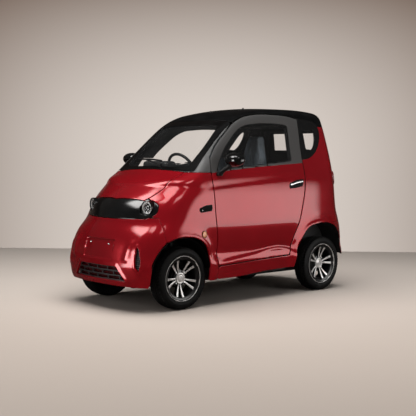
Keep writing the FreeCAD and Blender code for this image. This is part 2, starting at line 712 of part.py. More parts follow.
floor = [
    box("floor_flat", "2 * dims.floor_half", 895, "dims.floor_wall", "-dims.floor_half", -490,
        "dims.floor_top - dims.floor_wall + 0.4"),
    box("toe_flat", 500, 460, "dims.floor_wall", -250, -940, "dims.floor_top - dims.floor_wall + 0.4"),
    box("seat_step", 1000, 15, 310, -500, 390, 250),
    box("rear_flat", 700, 832, 15, -350, 390, 545),
    box("firewall", 1000, 15, 565, -500, firewall_back - 15, 250),
    box("tower_left", 15, 540, 462, 235, -1040, 240),
    box("tower_right", 15, 540, 462, -250, -1040, 240),
    box("rear_wall_left", 15, 832, 250, 335, 390, 300),
    box("rear_wall_right", 15, 832, 250, -350, 390, 300),
    box("arch_wall_left", 15, 780, 104, 335, 390, 548),
    box("arch_wall_right", 15, 780, 104, -350, 390, 548),
]
floor_pan = fuse("floor_pan", floor)
battery_box = box("battery_box", 380, 900, 63.1, -190, -460, 172)
battery_box.Label = "battery_box"

axle = [
    rod("axle_tube", 30, 750, -375, rear_axle_line, "dims.tyre_radius", ALONG_X, 90),
    rod("axle_stub", "dims.stub_radius", 2 * 493, -493, rear_axle_line, "dims.tyre_radius",
        ALONG_X, 90),
    rod("motor_case", 95, 260, -130, rear_axle_line, "dims.tyre_radius + 20", ALONG_X, 90),
    rod("damper_left", 24, 275, 285, rear_axle_line - 60, 269),
    rod("damper_right", 24, 275, -285, rear_axle_line - 60, 269),
    box("seat_left", 60, 110, 24, 255, rear_axle_line - 90, 246),
    box("seat_right", 60, 110, 24, -315, rear_axle_line - 90, 246),
]
rear_axle = fuse("rear_axle", axle)

suspension = []
for side, word in ((1, "left"), (-1, "right")):
    suspension.append(box("arm_" + word, 150, 60, 18, "%d * 315 - 75" % side,
                          front_axle - 30, "dims.tyre_radius - 35 - 18 - 0.3"))
    suspension.append(rod("strut_" + word, 20, 340, "%d * dims.kingpin" % side, front_axle,
                          "dims.tyre_radius + 101.3"))
    suspension.append(box("strut_top_" + word, 150, 110, 12, "%d * 325 - 75" % side,
                          front_axle - 55, 690))
front_suspension = fuse("front_suspension", suspension)


def knuckle(name, side):
    upright = box(name + "_upright", 44, 70, 136, "%d * dims.kingpin - 22" % side,
                  front_axle - 35, "dims.tyre_radius - 35")
    axle_pin = rod(name + "_pin", "dims.stub_radius", 108,
                   "%d * dims.kingpin + %d" % (side, 0 if side > 0 else -108), front_axle,
                   "dims.tyre_radius", ALONG_X, 90)
    arm = box(name + "_arm", 24, 110, 20, "%d * dims.kingpin - 12" % side, front_axle + 30,
              "dims.tyre_radius - 30")
    return fuse(name, [upright, axle_pin, arm])


knuckle_left = knuckle("knuckle_left", 1)
knuckle_right = knuckle("knuckle_right", -1)


# Wheels: a tyre and a rim with five pairs of spokes each.
def ring(name, profile, x, y):
    """A ring turned about a line along X from a closed profile: across, radius."""
    body = doc.addObject("PartDesign::Body", name)
    body.Label = name
    sketch = body.newObject("Sketcher::SketchObject", name + "_sketch")
    plane = [f for f in body.Origin.OriginFeatures if f.Role == "XY_Plane"][0]
    sketch.AttachmentSupport = (plane, "")
    sketch.MapMode = "FlatFace"
    for a, b in zip(profile, profile[1:] + profile[:1]):
        sketch.addGeometry(Part.LineSegment(V(a[0], a[1], 0), V(b[0], b[1], 0)), False)
    turn = body.newObject("PartDesign::Revolution", name + "_turn")
    turn.Profile = sketch
    turn.ReferenceAxis = (sketch, ["H_Axis"])
    turn.Angle = 360
    body.Tip = turn
    place(body, x, y, "dims.tyre_radius")
    return body


half_tyre = size("tyre_width") / 2
rim_r = size("rim_radius")
half_rim = size("rim_width") / 2
rim_wall = size("rim_wall")
hub_r = size("hub_radius")
TYRE_PROFILE = [
    (-half_tyre + 22, tyre_radius), (half_tyre - 22, tyre_radius), (half_tyre - 4, tyre_radius - 18),
    (half_tyre, tyre_radius - 45), (half_rim, rim_r + 0.3), (-half_rim, rim_r + 0.3),
    (-half_tyre, tyre_radius - 45), (-half_tyre + 4, tyre_radius - 18),
]
RIM_PROFILE = [
    (-half_rim, rim_r), (half_rim, rim_r), (half_rim + 4, rim_r + 10), (half_rim + 6, rim_r + 10),
    (half_rim + 5, rim_r - rim_wall), (-half_rim - 5, rim_r - rim_wall), (-half_rim - 6, rim_r + 10),
    (-half_rim - 4, rim_r + 10),
]


def wheel(name, side, y):
    x = "%d * dims.track_half" % side
    ring("tyre_" + name, TYRE_PROFILE, x, y)
    barrel = ring("barrel_" + name, RIM_PROFILE, x, y)
    pieces = [barrel]
    face = 30
    start = "%d * (dims.track_half + %d)" % (side, face)
    turn = 90 * side
    hub = rod("hub_" + name, "dims.hub_radius", 62, "%d * (dims.track_half - 22)" % side, y,
              "dims.tyre_radius", ALONG_X, turn)
    pieces.append(hub)
    for i in range(5):
        for lean in (-1, 1):
            spoke = doc.addObject("Part::Box", "spoke_%s_%d_%d" % (name, i, lean + 1))
            bind(spoke, {"Length": "18", "Width": "20", "Height": "dims.rim_radius - dims.rim_wall - 28"})
            spin = FreeCAD.Rotation(V(1, 0, 0), 72 * i + lean * 14.0 + (0 if side > 0 else 36))
            tilt = FreeCAD.Rotation(V(1, 0, 0), -lean * 5.0)
            base = spin.multVec(V(0, -10 + lean * 3, 30))
            spoke.Placement = FreeCAD.Placement(V(0, 0, 0), spin.multiply(tilt))
            spoke.setExpression("Placement.Base.x", start if side > 0 else start + " - 18")
            spoke.setExpression("Placement.Base.y", "%.4f" % (y + base.y))
            spoke.setExpression("Placement.Base.z", "dims.tyre_radius + %.4f" % base.z)
            pieces.append(spoke)
    solid = fuse("rim_solid_" + name, pieces)
    bore = rod("bore_" + name, "dims.hub_bore", 40, "%d * (dims.track_half - 23)" % side, y,
               "dims.tyre_radius", ALONG_X, turn)
    return cut("rim_" + name, solid, bore)


for name, side, y in (("front_left", 1, front_axle), ("front_right", -1, front_axle),
                      ("rear_left", 1, rear_axle_line), ("rear_right", -1, rear_axle_line)):
    wheel(name, side, y)

# Wheel liners: black shells over each wheel, inside the panels.
liner_wall = 5
front_reach = 322
front_inner = 250 + running_gap
front_outer = 530
rear_inner = 350.3
rear_outer = 520
hub_start = V(front_inner, front_axle, tyre_radius)
liner_length = front_outer - front_inner
front_liner = Part.makeCylinder(front_reach + liner_wall, liner_length, hub_start, V(1, 0, 0))
front_liner = front_liner.cut(Part.makeCylinder(front_reach, liner_length, hub_start, V(1, 0, 0)))
front_liner = front_liner.common(Part.makeBox(2000, 1328, 700, V(-1000, front_axle - 1000,
                                                                  tyre_radius + 60)))
front_liner = front_liner.cut(Part.makeCylinder(32, 600, V(size("kingpin"), front_axle, tyre_radius)))
rear_liner = prism("x", grown(REAR_ARCH, 4 + liner_wall), rear_inner, rear_outer)
rear_liner = rear_liner.cut(prism("x", grown(REAR_ARCH, 4), rear_inner, rear_outer))
rear_liner = rear_liner.common(Part.makeBox(1000, 900, 700, V(0, 400, 335)))
wheel_liners = add("wheel_liners", Part.makeCompound([front_liner, mirrored(front_liner), rear_liner,
                                                      mirrored(rear_liner)]))

# Cabin: dashboard, seats, steering.
dash = [
    box("dash_body", 980, 200, 190, -490, -505, 815.4),
    box("dash_top", 800, 330, 22, -400, -715, 1000),
    box("dash_shelf", 900, 120, 60, -450, -320, 900),
]
column_tilt = size("column_tilt")
lean_back = FreeCAD.Rotation(V(1, 0, 0), -(90 - column_tilt))
column_way = lean_back.multVec(V(0, 0, 1))
wheel_place = V(size("steering_offset"), -182, 1108)
column_start = wheel_place - column_way * 330
column = rod("column", 22, 330 - 34.3, column_start.x, column_start.y, column_start.z,
             V(1, 0, 0), -(90 - column_tilt))
dash.append(column)
dashboard = fuse("dashboard", dash)

seats = []
for side, word in ((1, "left"), (-1, "right")):
    across = side * 255
    seats.append(box("seat_foot_" + word, 300, 330, 90, across - 150, -160, 250.8))
    seats.append(box("seat_base_" + word, 410, 440, 130, across - 205, -220, 340.8))
    back = box("seat_back_" + word, 400, 95, 760, across - 200, 120, 420)
    back.Placement = FreeCAD.Placement(V(0, 0, 0), FreeCAD.Rotation(V(1, 0, 0), -9))
    seats.append(back)
    head = box("seat_head_" + word, 220, 75, 280, across - 110, 235, 1150)
    head.Placement = FreeCAD.Placement(V(0, 0, 0), FreeCAD.Rotation(V(1, 0, 0), -9))
    seats.append(head)
front_seats = fuse("front_seats", seats)
bench = [
    box("bench_base", 668, 300, 110, -334, 600, 560.3),
    box("bench_back", 668, 90, 420, -334, 890, 600),
]
rear_seat = fuse("rear_seat", bench)

wheel_rim = doc.addObject("Part::Torus", "steering_ring")
bind(wheel_rim, {"Radius1": "dims.steering_radius", "Radius2": "dims.steering_grip"})
spokes = [wheel_rim, rod("steering_hub", 42, 40, 0, 0, -34)]
for i in range(3):
    arm = box("steering_spoke%d" % i, "dims.steering_radius", 26, 12, 0, 0, -6)
    spin = FreeCAD.Rotation(V(0, 0, 1), 90 + 120 * i)
    off = spin.multVec(V(0, -13, 0))
    arm.Placement = FreeCAD.Placement(V(0, 0, 0), spin)
    arm.setExpression("Placement.Base.x", "%.4f" % off.x)
    arm.setExpression("Placement.Base.y", "%.4f" % off.y)
    arm.setExpression("Placement.Base.z", "-6")
    spokes.append(arm)
steering_wheel = fuse("steering_wheel", spokes)
steering_wheel.Placement = FreeCAD.Placement(wheel_place, lean_back)

# Mirrors on stalks from the front corner of each door window.
def mirror_of(name, source):
    item = doc.addObject("Part::Mirroring", name)
    item.Source = source
    item.Normal = V(1, 0, 0)
    item.Label = name
    return item


pod = doc.addObject("Part::Ellipsoid", "mirror_pod")
bind(pod, {"Radius1": "57", "Radius2": "92", "Radius3": "62"})
place(pod, 690, -407, 1218)
stalk_foot = V(540, -470, 1070)
stalk_way = V(672, -415, 1195) - stalk_foot
stalk = doc.addObject("Part::Cylinder", "mirror_stalk")
bind(stalk, {"Radius": "17"})
stalk.Height = stalk_way.Length
stalk.Placement = FreeCAD.Placement(stalk_foot, FreeCAD.Rotation(V(0, 0, 1), stalk_way))
mirror_left = cut("mirror_left", fuse("mirror_whole", [pod, stalk]), door_left)
mirror_right = mirror_of("mirror_right", mirror_left)

# Wiper: arm and blade that follow the screen.
def strip(outline, outer, inner):
    layer = slab(cabin_ray, spread(-760, -560, 10), spread(50, 130, 22), outer, inner)
    return layer.common(prism("z", outline, 1000, 1400))


blade = strip([[(70, -672), (-340, -640)], [(-340, -640), (-340, -630)],
               [(-340, -630), (70, -662)], [(70, -662), (70, -672)]], -12, set_in - 0.3)
arm = strip([[(108, -700), (88, -716)], [(88, -716), (-150, -668)],
             [(-150, -668), (-150, -652)], [(-150, -652), (108, -700)]], -22, -10)
pivot_base = Part.makeCylinder(14, 70, V(98, -707, 1120)).cut(Part.makeBox(100, 100, 200, V(60, -760, 1000)).common(
    slab(cabin_ray, spread(-760, -560, 10), spread(50, 130, 22), 0.3, 200)))
wiper = add("wiper", biggest(blade.fuse([arm, pivot_base]).cut(windshield_frame.Shape)))

doc.recompute()

NODES = """chassis_frame floor_pan battery_box rear_axle front_suspension front_bumper lamp_band
headlamps lower_grille fender_left fender_right quarter_left quarter_right roof_panel
windshield_frame pillar_trims windshield quarter_windows rear_bumper tail_lamps wheel_liners
dashboard front_seats rear_seat wiper door_left door_glass_left mirror_left door_right
door_glass_right mirror_right hood tailgate tailgate_glass knuckle_left knuckle_right
tyre_front_left tyre_front_right tyre_rear_left tyre_rear_right rim_front_left rim_front_right
rim_rear_left rim_rear_right steering_wheel""".split()

for item in doc.Objects:
    if "Invalid" in item.State or "Error" in item.State:
        raise RuntimeError("%s did not build: %s" % (item.Name, item.State))
for label in NODES:
    shape = doc.getObjectsByLabel(label)[0].Shape
    if shape.isNull() or not shape.isValid() or shape.Volume <= 0:
        raise RuntimeError("%s has no sound solid" % label)
    shape.exportStep("parts/%s.step" % label)
    print("%-18s %2d solids %9.0f cm3" % (label, len(shape.Solids), shape.Volume / 1000))
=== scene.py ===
"""Looks of a small two-door electric car: painted panels, glass, lamps, wheels and cabin.

Sizes are millimetres in the code and become metres in the meshes. +X is the car's left,
-Y its front and +Z up, with the origin on the ground under the middle.
"""

import json
import logging
import math
from dataclasses import dataclass, field
from enum import Enum
from typing import Callable, Sequence

import bmesh
import bpy
import numpy as np
from mathutils import Matrix, Vector

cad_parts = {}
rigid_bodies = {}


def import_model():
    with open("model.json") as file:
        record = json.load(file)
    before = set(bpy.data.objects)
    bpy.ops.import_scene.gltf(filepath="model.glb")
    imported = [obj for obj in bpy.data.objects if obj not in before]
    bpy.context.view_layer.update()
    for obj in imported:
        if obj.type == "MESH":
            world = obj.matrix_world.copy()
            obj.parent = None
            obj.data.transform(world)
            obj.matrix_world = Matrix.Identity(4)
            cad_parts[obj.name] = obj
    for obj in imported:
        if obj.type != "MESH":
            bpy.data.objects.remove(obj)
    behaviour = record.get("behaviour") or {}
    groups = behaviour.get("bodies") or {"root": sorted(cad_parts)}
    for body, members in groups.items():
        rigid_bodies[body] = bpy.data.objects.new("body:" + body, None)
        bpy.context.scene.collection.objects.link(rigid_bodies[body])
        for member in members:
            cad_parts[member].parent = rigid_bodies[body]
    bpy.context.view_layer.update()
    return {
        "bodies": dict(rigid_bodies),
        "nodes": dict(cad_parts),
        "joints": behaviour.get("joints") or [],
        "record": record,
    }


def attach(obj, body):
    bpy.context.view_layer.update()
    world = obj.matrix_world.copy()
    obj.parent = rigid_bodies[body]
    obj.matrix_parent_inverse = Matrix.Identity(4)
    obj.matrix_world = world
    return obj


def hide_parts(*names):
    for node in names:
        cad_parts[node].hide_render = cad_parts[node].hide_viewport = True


LOG = logging.getLogger("microcar")
MM = 0.001
X, Y, Z = 0, 1, 2
TINY = 1e-9
TURN = 2 * math.pi
CABIN_MIDDLE = Vector((0, 0.1, 0.9))
Array = np.ndarray
Material = bpy.types.Material
Field = Callable[[Array], Array]
Pair = tuple[float, float]
Numbers = Sequence[float]
Mesh = tuple[Array, list]
SIDES = ((1, "left"), (-1, "right"))
DOOR_BODY = "door_{}_body"
AXLE = Vector((0, 0, 0)), Vector((1, 0, 0))


# Skin of the body


class Curve:
    """A smooth curve through points, flat past its ends."""

    def __init__(self, points: Sequence[Pair]) -> None:
        """Works out the slope at each point.

        Args:
            points: place along the curve and its value there, in order.
        """
        self.at = np.array([p[0] for p in points], float)
        self.to = np.array([p[1] for p in points], float)
        steps = np.diff(self.at)
        rises = np.diff(self.to) / steps
        inner = (rises[:-1] * steps[1:] + rises[1:] * steps[:-1]) / (steps[:-1] + steps[1:])
        self.slopes = np.concatenate([rises[:1], inner, rises[-1:]])

    def __call__(self, at: Array) -> Array:
        """Returns the curve's value at each place."""
        at = np.clip(at, self.at[0], self.at[-1])
        i = np.clip(np.searchsorted(self.at, at, side="right") - 1, 0, len(self.at) - 2)
        step = self.at[i + 1] - self.at[i]
        f = (at - self.at[i]) / step
        start = (1 + 2 * f) * (1 - f) ** 2 * self.to[i] + f * (1 - f) ** 2 * step * self.slopes[i]
        end = f * f * (3 - 2 * f) * self.to[i + 1] + f * f * (f - 1) * step * self.slopes[i + 1]
        return start + end


def smooth_step(value: Array) -> Array:
    """Returns 0 below 0, 1 above 1 and a smooth rise between."""
    v = np.clip(value, 0.0, 1.0)
    return v * v * (3 - 2 * v)


def unit(v: Array) -> Array:
    """Returns each row as a vector of length 1."""
    return v / np.linalg.norm(v, axis=-1, keepdims=True)


def blend_max(a: Array, b: Array, radius: float | Array) -> Array:
    """Returns the larger of two values, rounded where they meet."""
    near = np.maximum(radius - np.abs(a - b), 0) / radius
    return np.maximum(a, b) + near * near * radius / 4


@dataclass
class Skin:
    """The outer skin of the body as a distance that is below zero inside it."""

    half_width: Curve = field(default_factory=lambda: Curve([
        (-1312, 497), (-1162, 542), (-962, 575), (-762, 587), (-462, 584), (38, 592),
        (538, 589), (838, 584), (1088, 567), (1338, 527)]))
    side_lean: Curve = field(default_factory=lambda: Curve([
        (150, -50), (220, -20), (300, -8), (360, -6), (430, -22), (520, -14), (650, -2), (800, 0),
        (950, -3), (1050, -12), (1130, -28), (1250, -55), (1400, -95), (1550, -138),
        (1680, -180)]))
    front_middle: Curve = field(default_factory=lambda: Curve([
        (150, -1242), (220, -1280), (320, -1295), (450, -1294), (550, -1272), (620, -1247),
        (700, -1212), (760, -1194), (820, -1174), (900, -1127), (1000, -1042)]))
    front_bow: Curve = field(default_factory=lambda: Curve([
        (200, 0.28), (500, 0.30), (600, 0.42), (720, 0.66), (820, 0.74), (950, 0.8)]))
    rear_middle: Curve = field(default_factory=lambda: Curve([
        (150, 1248), (220, 1283), (320, 1298), (500, 1298), (600, 1278), (680, 1243),
        (760, 1206), (860, 1184), (1000, 1170), (1170, 1158), (1370, 1136), (1530, 1113),
        (1650, 1088)]))
    rear_bow: Curve = field(default_factory=lambda: Curve([(200, 0.22), (1700, 0.25)]))
    top_middle: Curve = field(default_factory=lambda: Curve([
        (-1312, 720), (-1212, 820), (-1127, 910), (-1062, 955), (-962, 1018), (-862, 1075),
        (-762, 1125), (-712, 1157), (-562, 1305), (-412, 1445), (-262, 1560), (-112, 1628),
        (38, 1662), (238, 1688), (488, 1700), (788, 1700), (988, 1685), (1138, 1660),
        (1338, 1600)]))
    crown: Curve = field(default_factory=lambda: Curve([
        (-1162, 50), (-862, 35), (-712, 45), (-462, 60), (-162, 40), (138, 30), (1138, 25)]))
    round_nose: float = 110.0
    round_tail: float = 100.0
    round_roof: float = 60.0
    round_bonnet: float = 50.0
    crown_half: float = 450.0
    slope_step: float = 10.0
    flare_top: float = 850.0
    flare_fade: float = 50.0
    furthest: float = 1700.0
    flares: tuple = ((-860, 265, 335, 18, 60), (840, 285, 355, 22, 70))

    def value(self, p: Array) -> Array:
        """Returns the signed distance of each point from the skin, near enough."""
        x, y, z = np.abs(p[..., X]), p[..., Y], p[..., Z]
        side = self.half_width(y) + self.side_lean(z)
        fade = 1 / (1 + np.exp((z - self.flare_top) / self.flare_fade))
        for cy, cz, radius, height, width in self.flares:
            away = (np.hypot(y - cy, z - cz) - radius) / width
            side = side + fade * height * np.exp(-away * away)
        g = x - side
        s = self.slope_step
        ends = []
        for middle, bow_of, way, radius in (
                (self.front_middle, self.front_bow, -1, self.round_nose),
                (self.rear_middle, self.rear_bow, 1, self.round_tail)):
            bow = bow_of(z) / 1000
            face = middle(z) - way * bow * x * x
            slope = (middle(z + s) - middle(z - s)) / (2 * s)
            other = way * (y - face) / np.sqrt(1 + slope * slope + (2 * bow * x) ** 2)
            ends.append(blend_max(g, other, radius))
        g = np.where(y < 0, ends[0], ends[1])
        rise = self.crown(y)
        top = self.top_middle(y) - rise * (x / self.crown_half) ** 2
        slope = (self.top_middle(y + s) - self.top_middle(y - s)) / (2 * s)
        across = 2 * rise * x / self.crown_half ** 2
        other = (z - top) / np.sqrt(1 + slope * slope + across ** 2)
        radius = self.round_roof + self.round_bonnet * np.clip((1100 - z) / 200.0, 0, 1)
        return blend_max(g, other, radius)

    def normal(self, p: Array) -> Array:
        """Returns the outward unit normal at each point."""
        return unit(np.stack([self.value(p + step) - self.value(p - step)
                              for step in np.eye(3) * 1.5], axis=-1))

    def hit(self, start: Array, way: Array) -> Array:
        """Returns where lines from inside cross the skin."""
        low = np.zeros(start.shape[:-1])
        high = np.full(start.shape[:-1], self.furthest)
        for _ in range(24):
            mid = (low + high) / 2
            inside = self.value(start + way * mid[..., None]) < 0
            low, high = np.where(inside, mid, low), np.where(inside, high, mid)
        return start + way * low[..., None]

    def spot(self, start: Numbers, way: Numbers) -> Array:
        """Returns where one line from inside crosses the skin, as an array of one point."""
        return self.hit(np.array([start], float), np.array([way], float))


SKIN = Skin()
FRONTWARD = (0, -1, 0)


class Rays(Enum):
    """Families of lines that leave the inside of the car and cross its skin."""

    NOSE = "nose"
    TAIL = "tail"
    CABIN = "cabin"
    ROOF = "roof"
    HOOD = "hood"

    def lines(self, row: Array, column: Array) -> tuple[Array, Array]:
        """Returns the start and the direction of each line.

        Args:
            row: a height, or a place along or across the car.
            column: an angle in degrees.
        """
        nose_y, tail_y, cabin_z, hood_y, hood_z = -662, 488, 750, -722, 700
        roof_z, roof_bend, roof_tilt = 1000, 800, 0.085
        a = np.radians(column)
        zero = np.zeros_like(row)
        s, c = np.sin(a), np.cos(a)
        if self is Rays.NOSE:
            return np.stack([zero, zero + nose_y, row], -1), np.stack([s, -c, zero], -1)
        if self is Rays.TAIL:
            return np.stack([zero, zero + tail_y, row], -1), np.stack([s, c, zero], -1)
        if self is Rays.CABIN:
            return np.stack([zero, row, zero + cabin_z], -1), np.stack([c, zero, s], -1)
        if self is Rays.HOOD:
            start = np.stack([row, zero + hood_y, zero + hood_z], -1)
            return start, np.stack([zero, -c, s], -1)
        tilt = np.radians(roof_tilt * np.maximum(row - roof_bend, 0))
        start = np.stack([zero, np.minimum(row, roof_bend), zero + roof_z], -1)
        return start, np.stack([c * np.cos(tilt), np.sin(tilt), s * np.cos(tilt)], -1)


# Outlines


def smooth_run(points: Sequence[Pair], parts: int = 10) -> Array:
    """Returns a smooth line through points, as many short steps."""
    p = np.array(points, float)
    if len(p) == 2:
        return p
    at = np.concatenate([[0], np.cumsum(np.linalg.norm(np.diff(p, axis=0), axis=1))])
    fine = np.concatenate([np.linspace(a, b, parts, endpoint=False)
                           for a, b in zip(at, at[1:])] + [[at[-1]]])
    return np.stack([Curve(list(zip(at, p[:, k])))(fine) for k in (0, 1)], -1)


class Outline:
    """A closed flat outline of straight and smooth runs, seen along one axis."""

    AXES = {"x": (1, 2), "y": (0, 2), "z": (0, 1)}

    def __init__(self, plane: str, runs: Sequence[Sequence[Pair]]) -> None:
        """Joins the runs to one loop.

        Args:
            plane: the axis that the outline is seen along.
            runs: runs of points, each from where the one before ends and the first from the
                last one's end; one point makes a straight run, more a smooth one.
        """
        self.axes = self.AXES[plane]
        self.loop = np.concatenate([smooth_run([before[-1], *run])[:-1]
                                    for before, run in zip([runs[-1], *runs], runs)])

    def inside(self, p: Array) -> Array:
        """Returns the flat distance to the outline, above zero inside it."""
        q = np.stack([p[..., self.axes[0]], p[..., self.axes[1]]], -1).reshape(-1, 2)
        a, b = self.loop, np.roll(self.loop, -1, axis=0)
        best = np.full(len(q), 1e18)
        odd = np.zeros(len(q), bool)
        for s, e in zip(a, b):
            d = e - s
            t = np.clip(((q - s) @ d) / (d @ d), 0, 1)
            best = np.minimum(best, np.sum((q - s - t[:, None] * d) ** 2, axis=1))
            over = (s[1] > q[:, 1]) != (e[1] > q[:, 1])
            odd ^= over & (q[:, 0] < s[0] + (q[:, 1] - s[1]) * d[0] / (d[1] + 1e-12))
        return (np.where(odd, 1, -1) * np.sqrt(best)).reshape(p.shape[:-1])

    def keep(self, margin: float = 0.0) -> Field:
        """Returns a field that is above zero further inside than a margin."""
        return lambda p: self.inside(p) - margin

    def drop(self, margin: float = 0.0) -> Field:
        """Returns a field that is above zero further outside than a margin."""
        return lambda p: -self.inside(p) - margin


def past(axis: int, place: float, way: int = 1) -> Field:
    """Returns a field that is above zero past a flat plane."""
    return lambda p: way * (p[..., axis] - place)


def either(*fields: Field) -> Field:
    """Returns the union of fields."""
    return lambda p: np.max([f(p) for f in fields], axis=0)


def both_sides(one: Field) -> Field:
    """Returns a left-hand field that also holds on the right."""
    return lambda p: one(np.concatenate([np.abs(p[..., :1]), p[..., 1:]], axis=-1))


def only_where(one: Field, where: Field) -> Field:
    """Returns a dropping field that acts only where another is above zero."""
    return lambda p: np.where(where(p) > 0, one(p), 1e3)


DOOR = Outline("x", [
    [(-478, 370), (-473, 333)],
    [(-94, 352), (398, 371)],
    [(419, 420), (469, 545), (529, 659), (576, 820), (606, 960), (617, 1100),
     (610, 1220), (617, 1350), (634, 1483), (646, 1602)],
    [(546, 1619), (310, 1629), (51, 1615), (-114, 1575), (-209, 1527),
     (-292, 1464), (-463, 1314), (-530, 1236)],
    [(-549, 1160), (-553, 1109), (-537, 973), (-516, 763), (-479, 550)]])
DOOR_WINDOW = Outline("x", [
    [(-443, 1206), (-372, 1300), (-266, 1399), (-154, 1484), (-86, 1514),
     (62, 1537), (280, 1548), (416, 1545), (484, 1532)],
    [(478, 1440), (466, 1330), (462, 1214)],
    [(47, 1174), (-233, 1151), (-490, 1124)]])
QUARTER = Outline("x", [
    [(719, 1244), (805, 1287), (891, 1372), (929, 1445), (932, 1524), (881, 1576),
     (773, 1598), (600, 1610)],
    [(600, 1223)]])
QUARTER_LIGHT = Outline("x", [
    [(693, 1497)], [(856, 1503)], [(850, 1440), (834, 1394), (800, 1345), (770, 1322)],
    [(690, 1326)]])
FRONT_ARCH = Outline("x", [
    [(-578, 358)],
    [(-590, 454), (-640, 530), (-717, 574), (-825, 595), (-952, 586),
     (-1051, 542), (-1122, 448), (-1161, 379)],
    [(-1161, 100)],
    [(-575, 100)]])
REAR_ARCH = Outline("x", [
    [(1162, 339)],
    [(1118, 530), (1048, 602), (916, 644), (778, 644), (638, 608), (558, 518),
     (496, 417), (458, 282)],
    [(455, 100)],
    [(1162, 100)]])
BAND = Outline("y", [
    [(-323, 895), (0, 886), (323, 895), (395, 875)],
    [(445, 840), (454, 792), (426, 757), (382, 737)],
    [(0, 731), (-382, 737)],
    [(-426, 757), (-454, 792), (-445, 840), (-395, 875)]])
LOWER_MOUTH = Outline("y", [[(240, 358)], [(335, 245)], [(-335, 245)], [(-240, 358)]])
PLATE_RECESS = Outline("y", [[(188, 412)], [(188, 566)], [(-188, 566)], [(-188, 412)]])
CORNER_SLOT = Outline("y", [
    [(452, 505)], [(478, 380), (468, 330)], [(440, 360)], [(428, 526)]])
HOOD = Outline("z", [
    [(184, -1083), (309, -1054)],
    [(352, -999), (398, -890), (411, -790), (413, -722)],
    [(300, -737), (0, -752), (-300, -737), (-413, -722)],
    [(-411, -790), (-398, -890), (-352, -999), (-309, -1054)],
    [(-184, -1083), (0, -1108)]])
SCREEN_FRAME = Outline("z", [
    [(-413, -722), (-300, -737), (0, -752), (300, -737), (413, -722), (500, -690)],
    [(470, -504), (436, -214)],
    [(0, -264), (-436, -214)],
    [(-470, -504), (-500, -690)]])
SCREEN_GLASS = Outline("z", [
    [(-200, -702), (0, -708), (200, -702), (404, -668)],
    [(402, -504), (368, -300)],
    [(0, -322), (-368, -300)],
    [(-402, -504), (-404, -668)]])
ROOF_FRONT = Outline("z", [
    [(-436, -210)], [(0, -260), (436, -210)], [(700, -210)], [(700, 1400)], [(-700, 1400)],
    [(-700, -210)]])
TAILGATE = Outline("y", [
    [(430, 575)], [(438, 1000), (432, 1200), (385, 1534)],
    [(-385, 1534)], [(-432, 1200), (-438, 1000), (-430, 575)]])
REAR_WINDOW = Outline("y", [
    [(352, 1165)], [(345, 1300), (310, 1500)],
    [(-310, 1500)], [(-345, 1300), (-352, 1165)]])
TAIL_LAMP = Outline("y", [
    [(515, 1000), (530, 1050), (524, 1105), (492, 1125), (466, 1100), (460, 1045),
     (463, 1000), (478, 985)]])
BELT = Curve([(-560, 1104), (-495, 1111), (45, 1160), (605, 1198), (660, 1202)])
SILL = Curve([(-700, 214), (-590, 219), (-230, 226), (45, 248), (239, 256), (560, 262)])
WEDGE = Curve([(-500, 362), (-79, 418), (313, 452), (400, 436), (475, 398)])
SWAGE = Curve([(-640, 972), (-521, 983), (391, 1058), (640, 1079)])


def relief(p: Array) -> Array:
    """Returns how far pressed lines stand out of the smooth skin, in millimetres.

    Args:
        p: points on the smooth skin.
    """
    wedge_height, swage_depth, front_lip, rear_lip = 11, 3.5, 5.0, 6.0
    x, y, z = np.abs(p[..., X]), p[..., Y], p[..., Z]
    on_side = smooth_step((x - 470) / 60)
    along = smooth_step((y + 500) / 160) * smooth_step((500 - y) / 60)
    below = WEDGE(y) - z
    out = on_side * along * wedge_height * smooth_step(below / 26 + 0.3) \
        * np.clip((108 - below) / 90, 0, 1)
    swage = z - SWAGE(y)
    fade = smooth_step((y + 640) / 120) * smooth_step((700 - y) / 200)
    out = out - on_side * fade * swage_depth * smooth_step((swage + 14) / 20) \
        * smooth_step((70 - swage) / 60)
    for arch, lip in ((FRONT_ARCH, front_lip), (REAR_ARCH, rear_lip)):
        away = -arch.inside(p)
        out = out + smooth_step((x - 380) / 80) * lip * smooth_step((26 - away) / 12) \
            * smooth_step((z - 240) / 60)
    return out


# Meshes


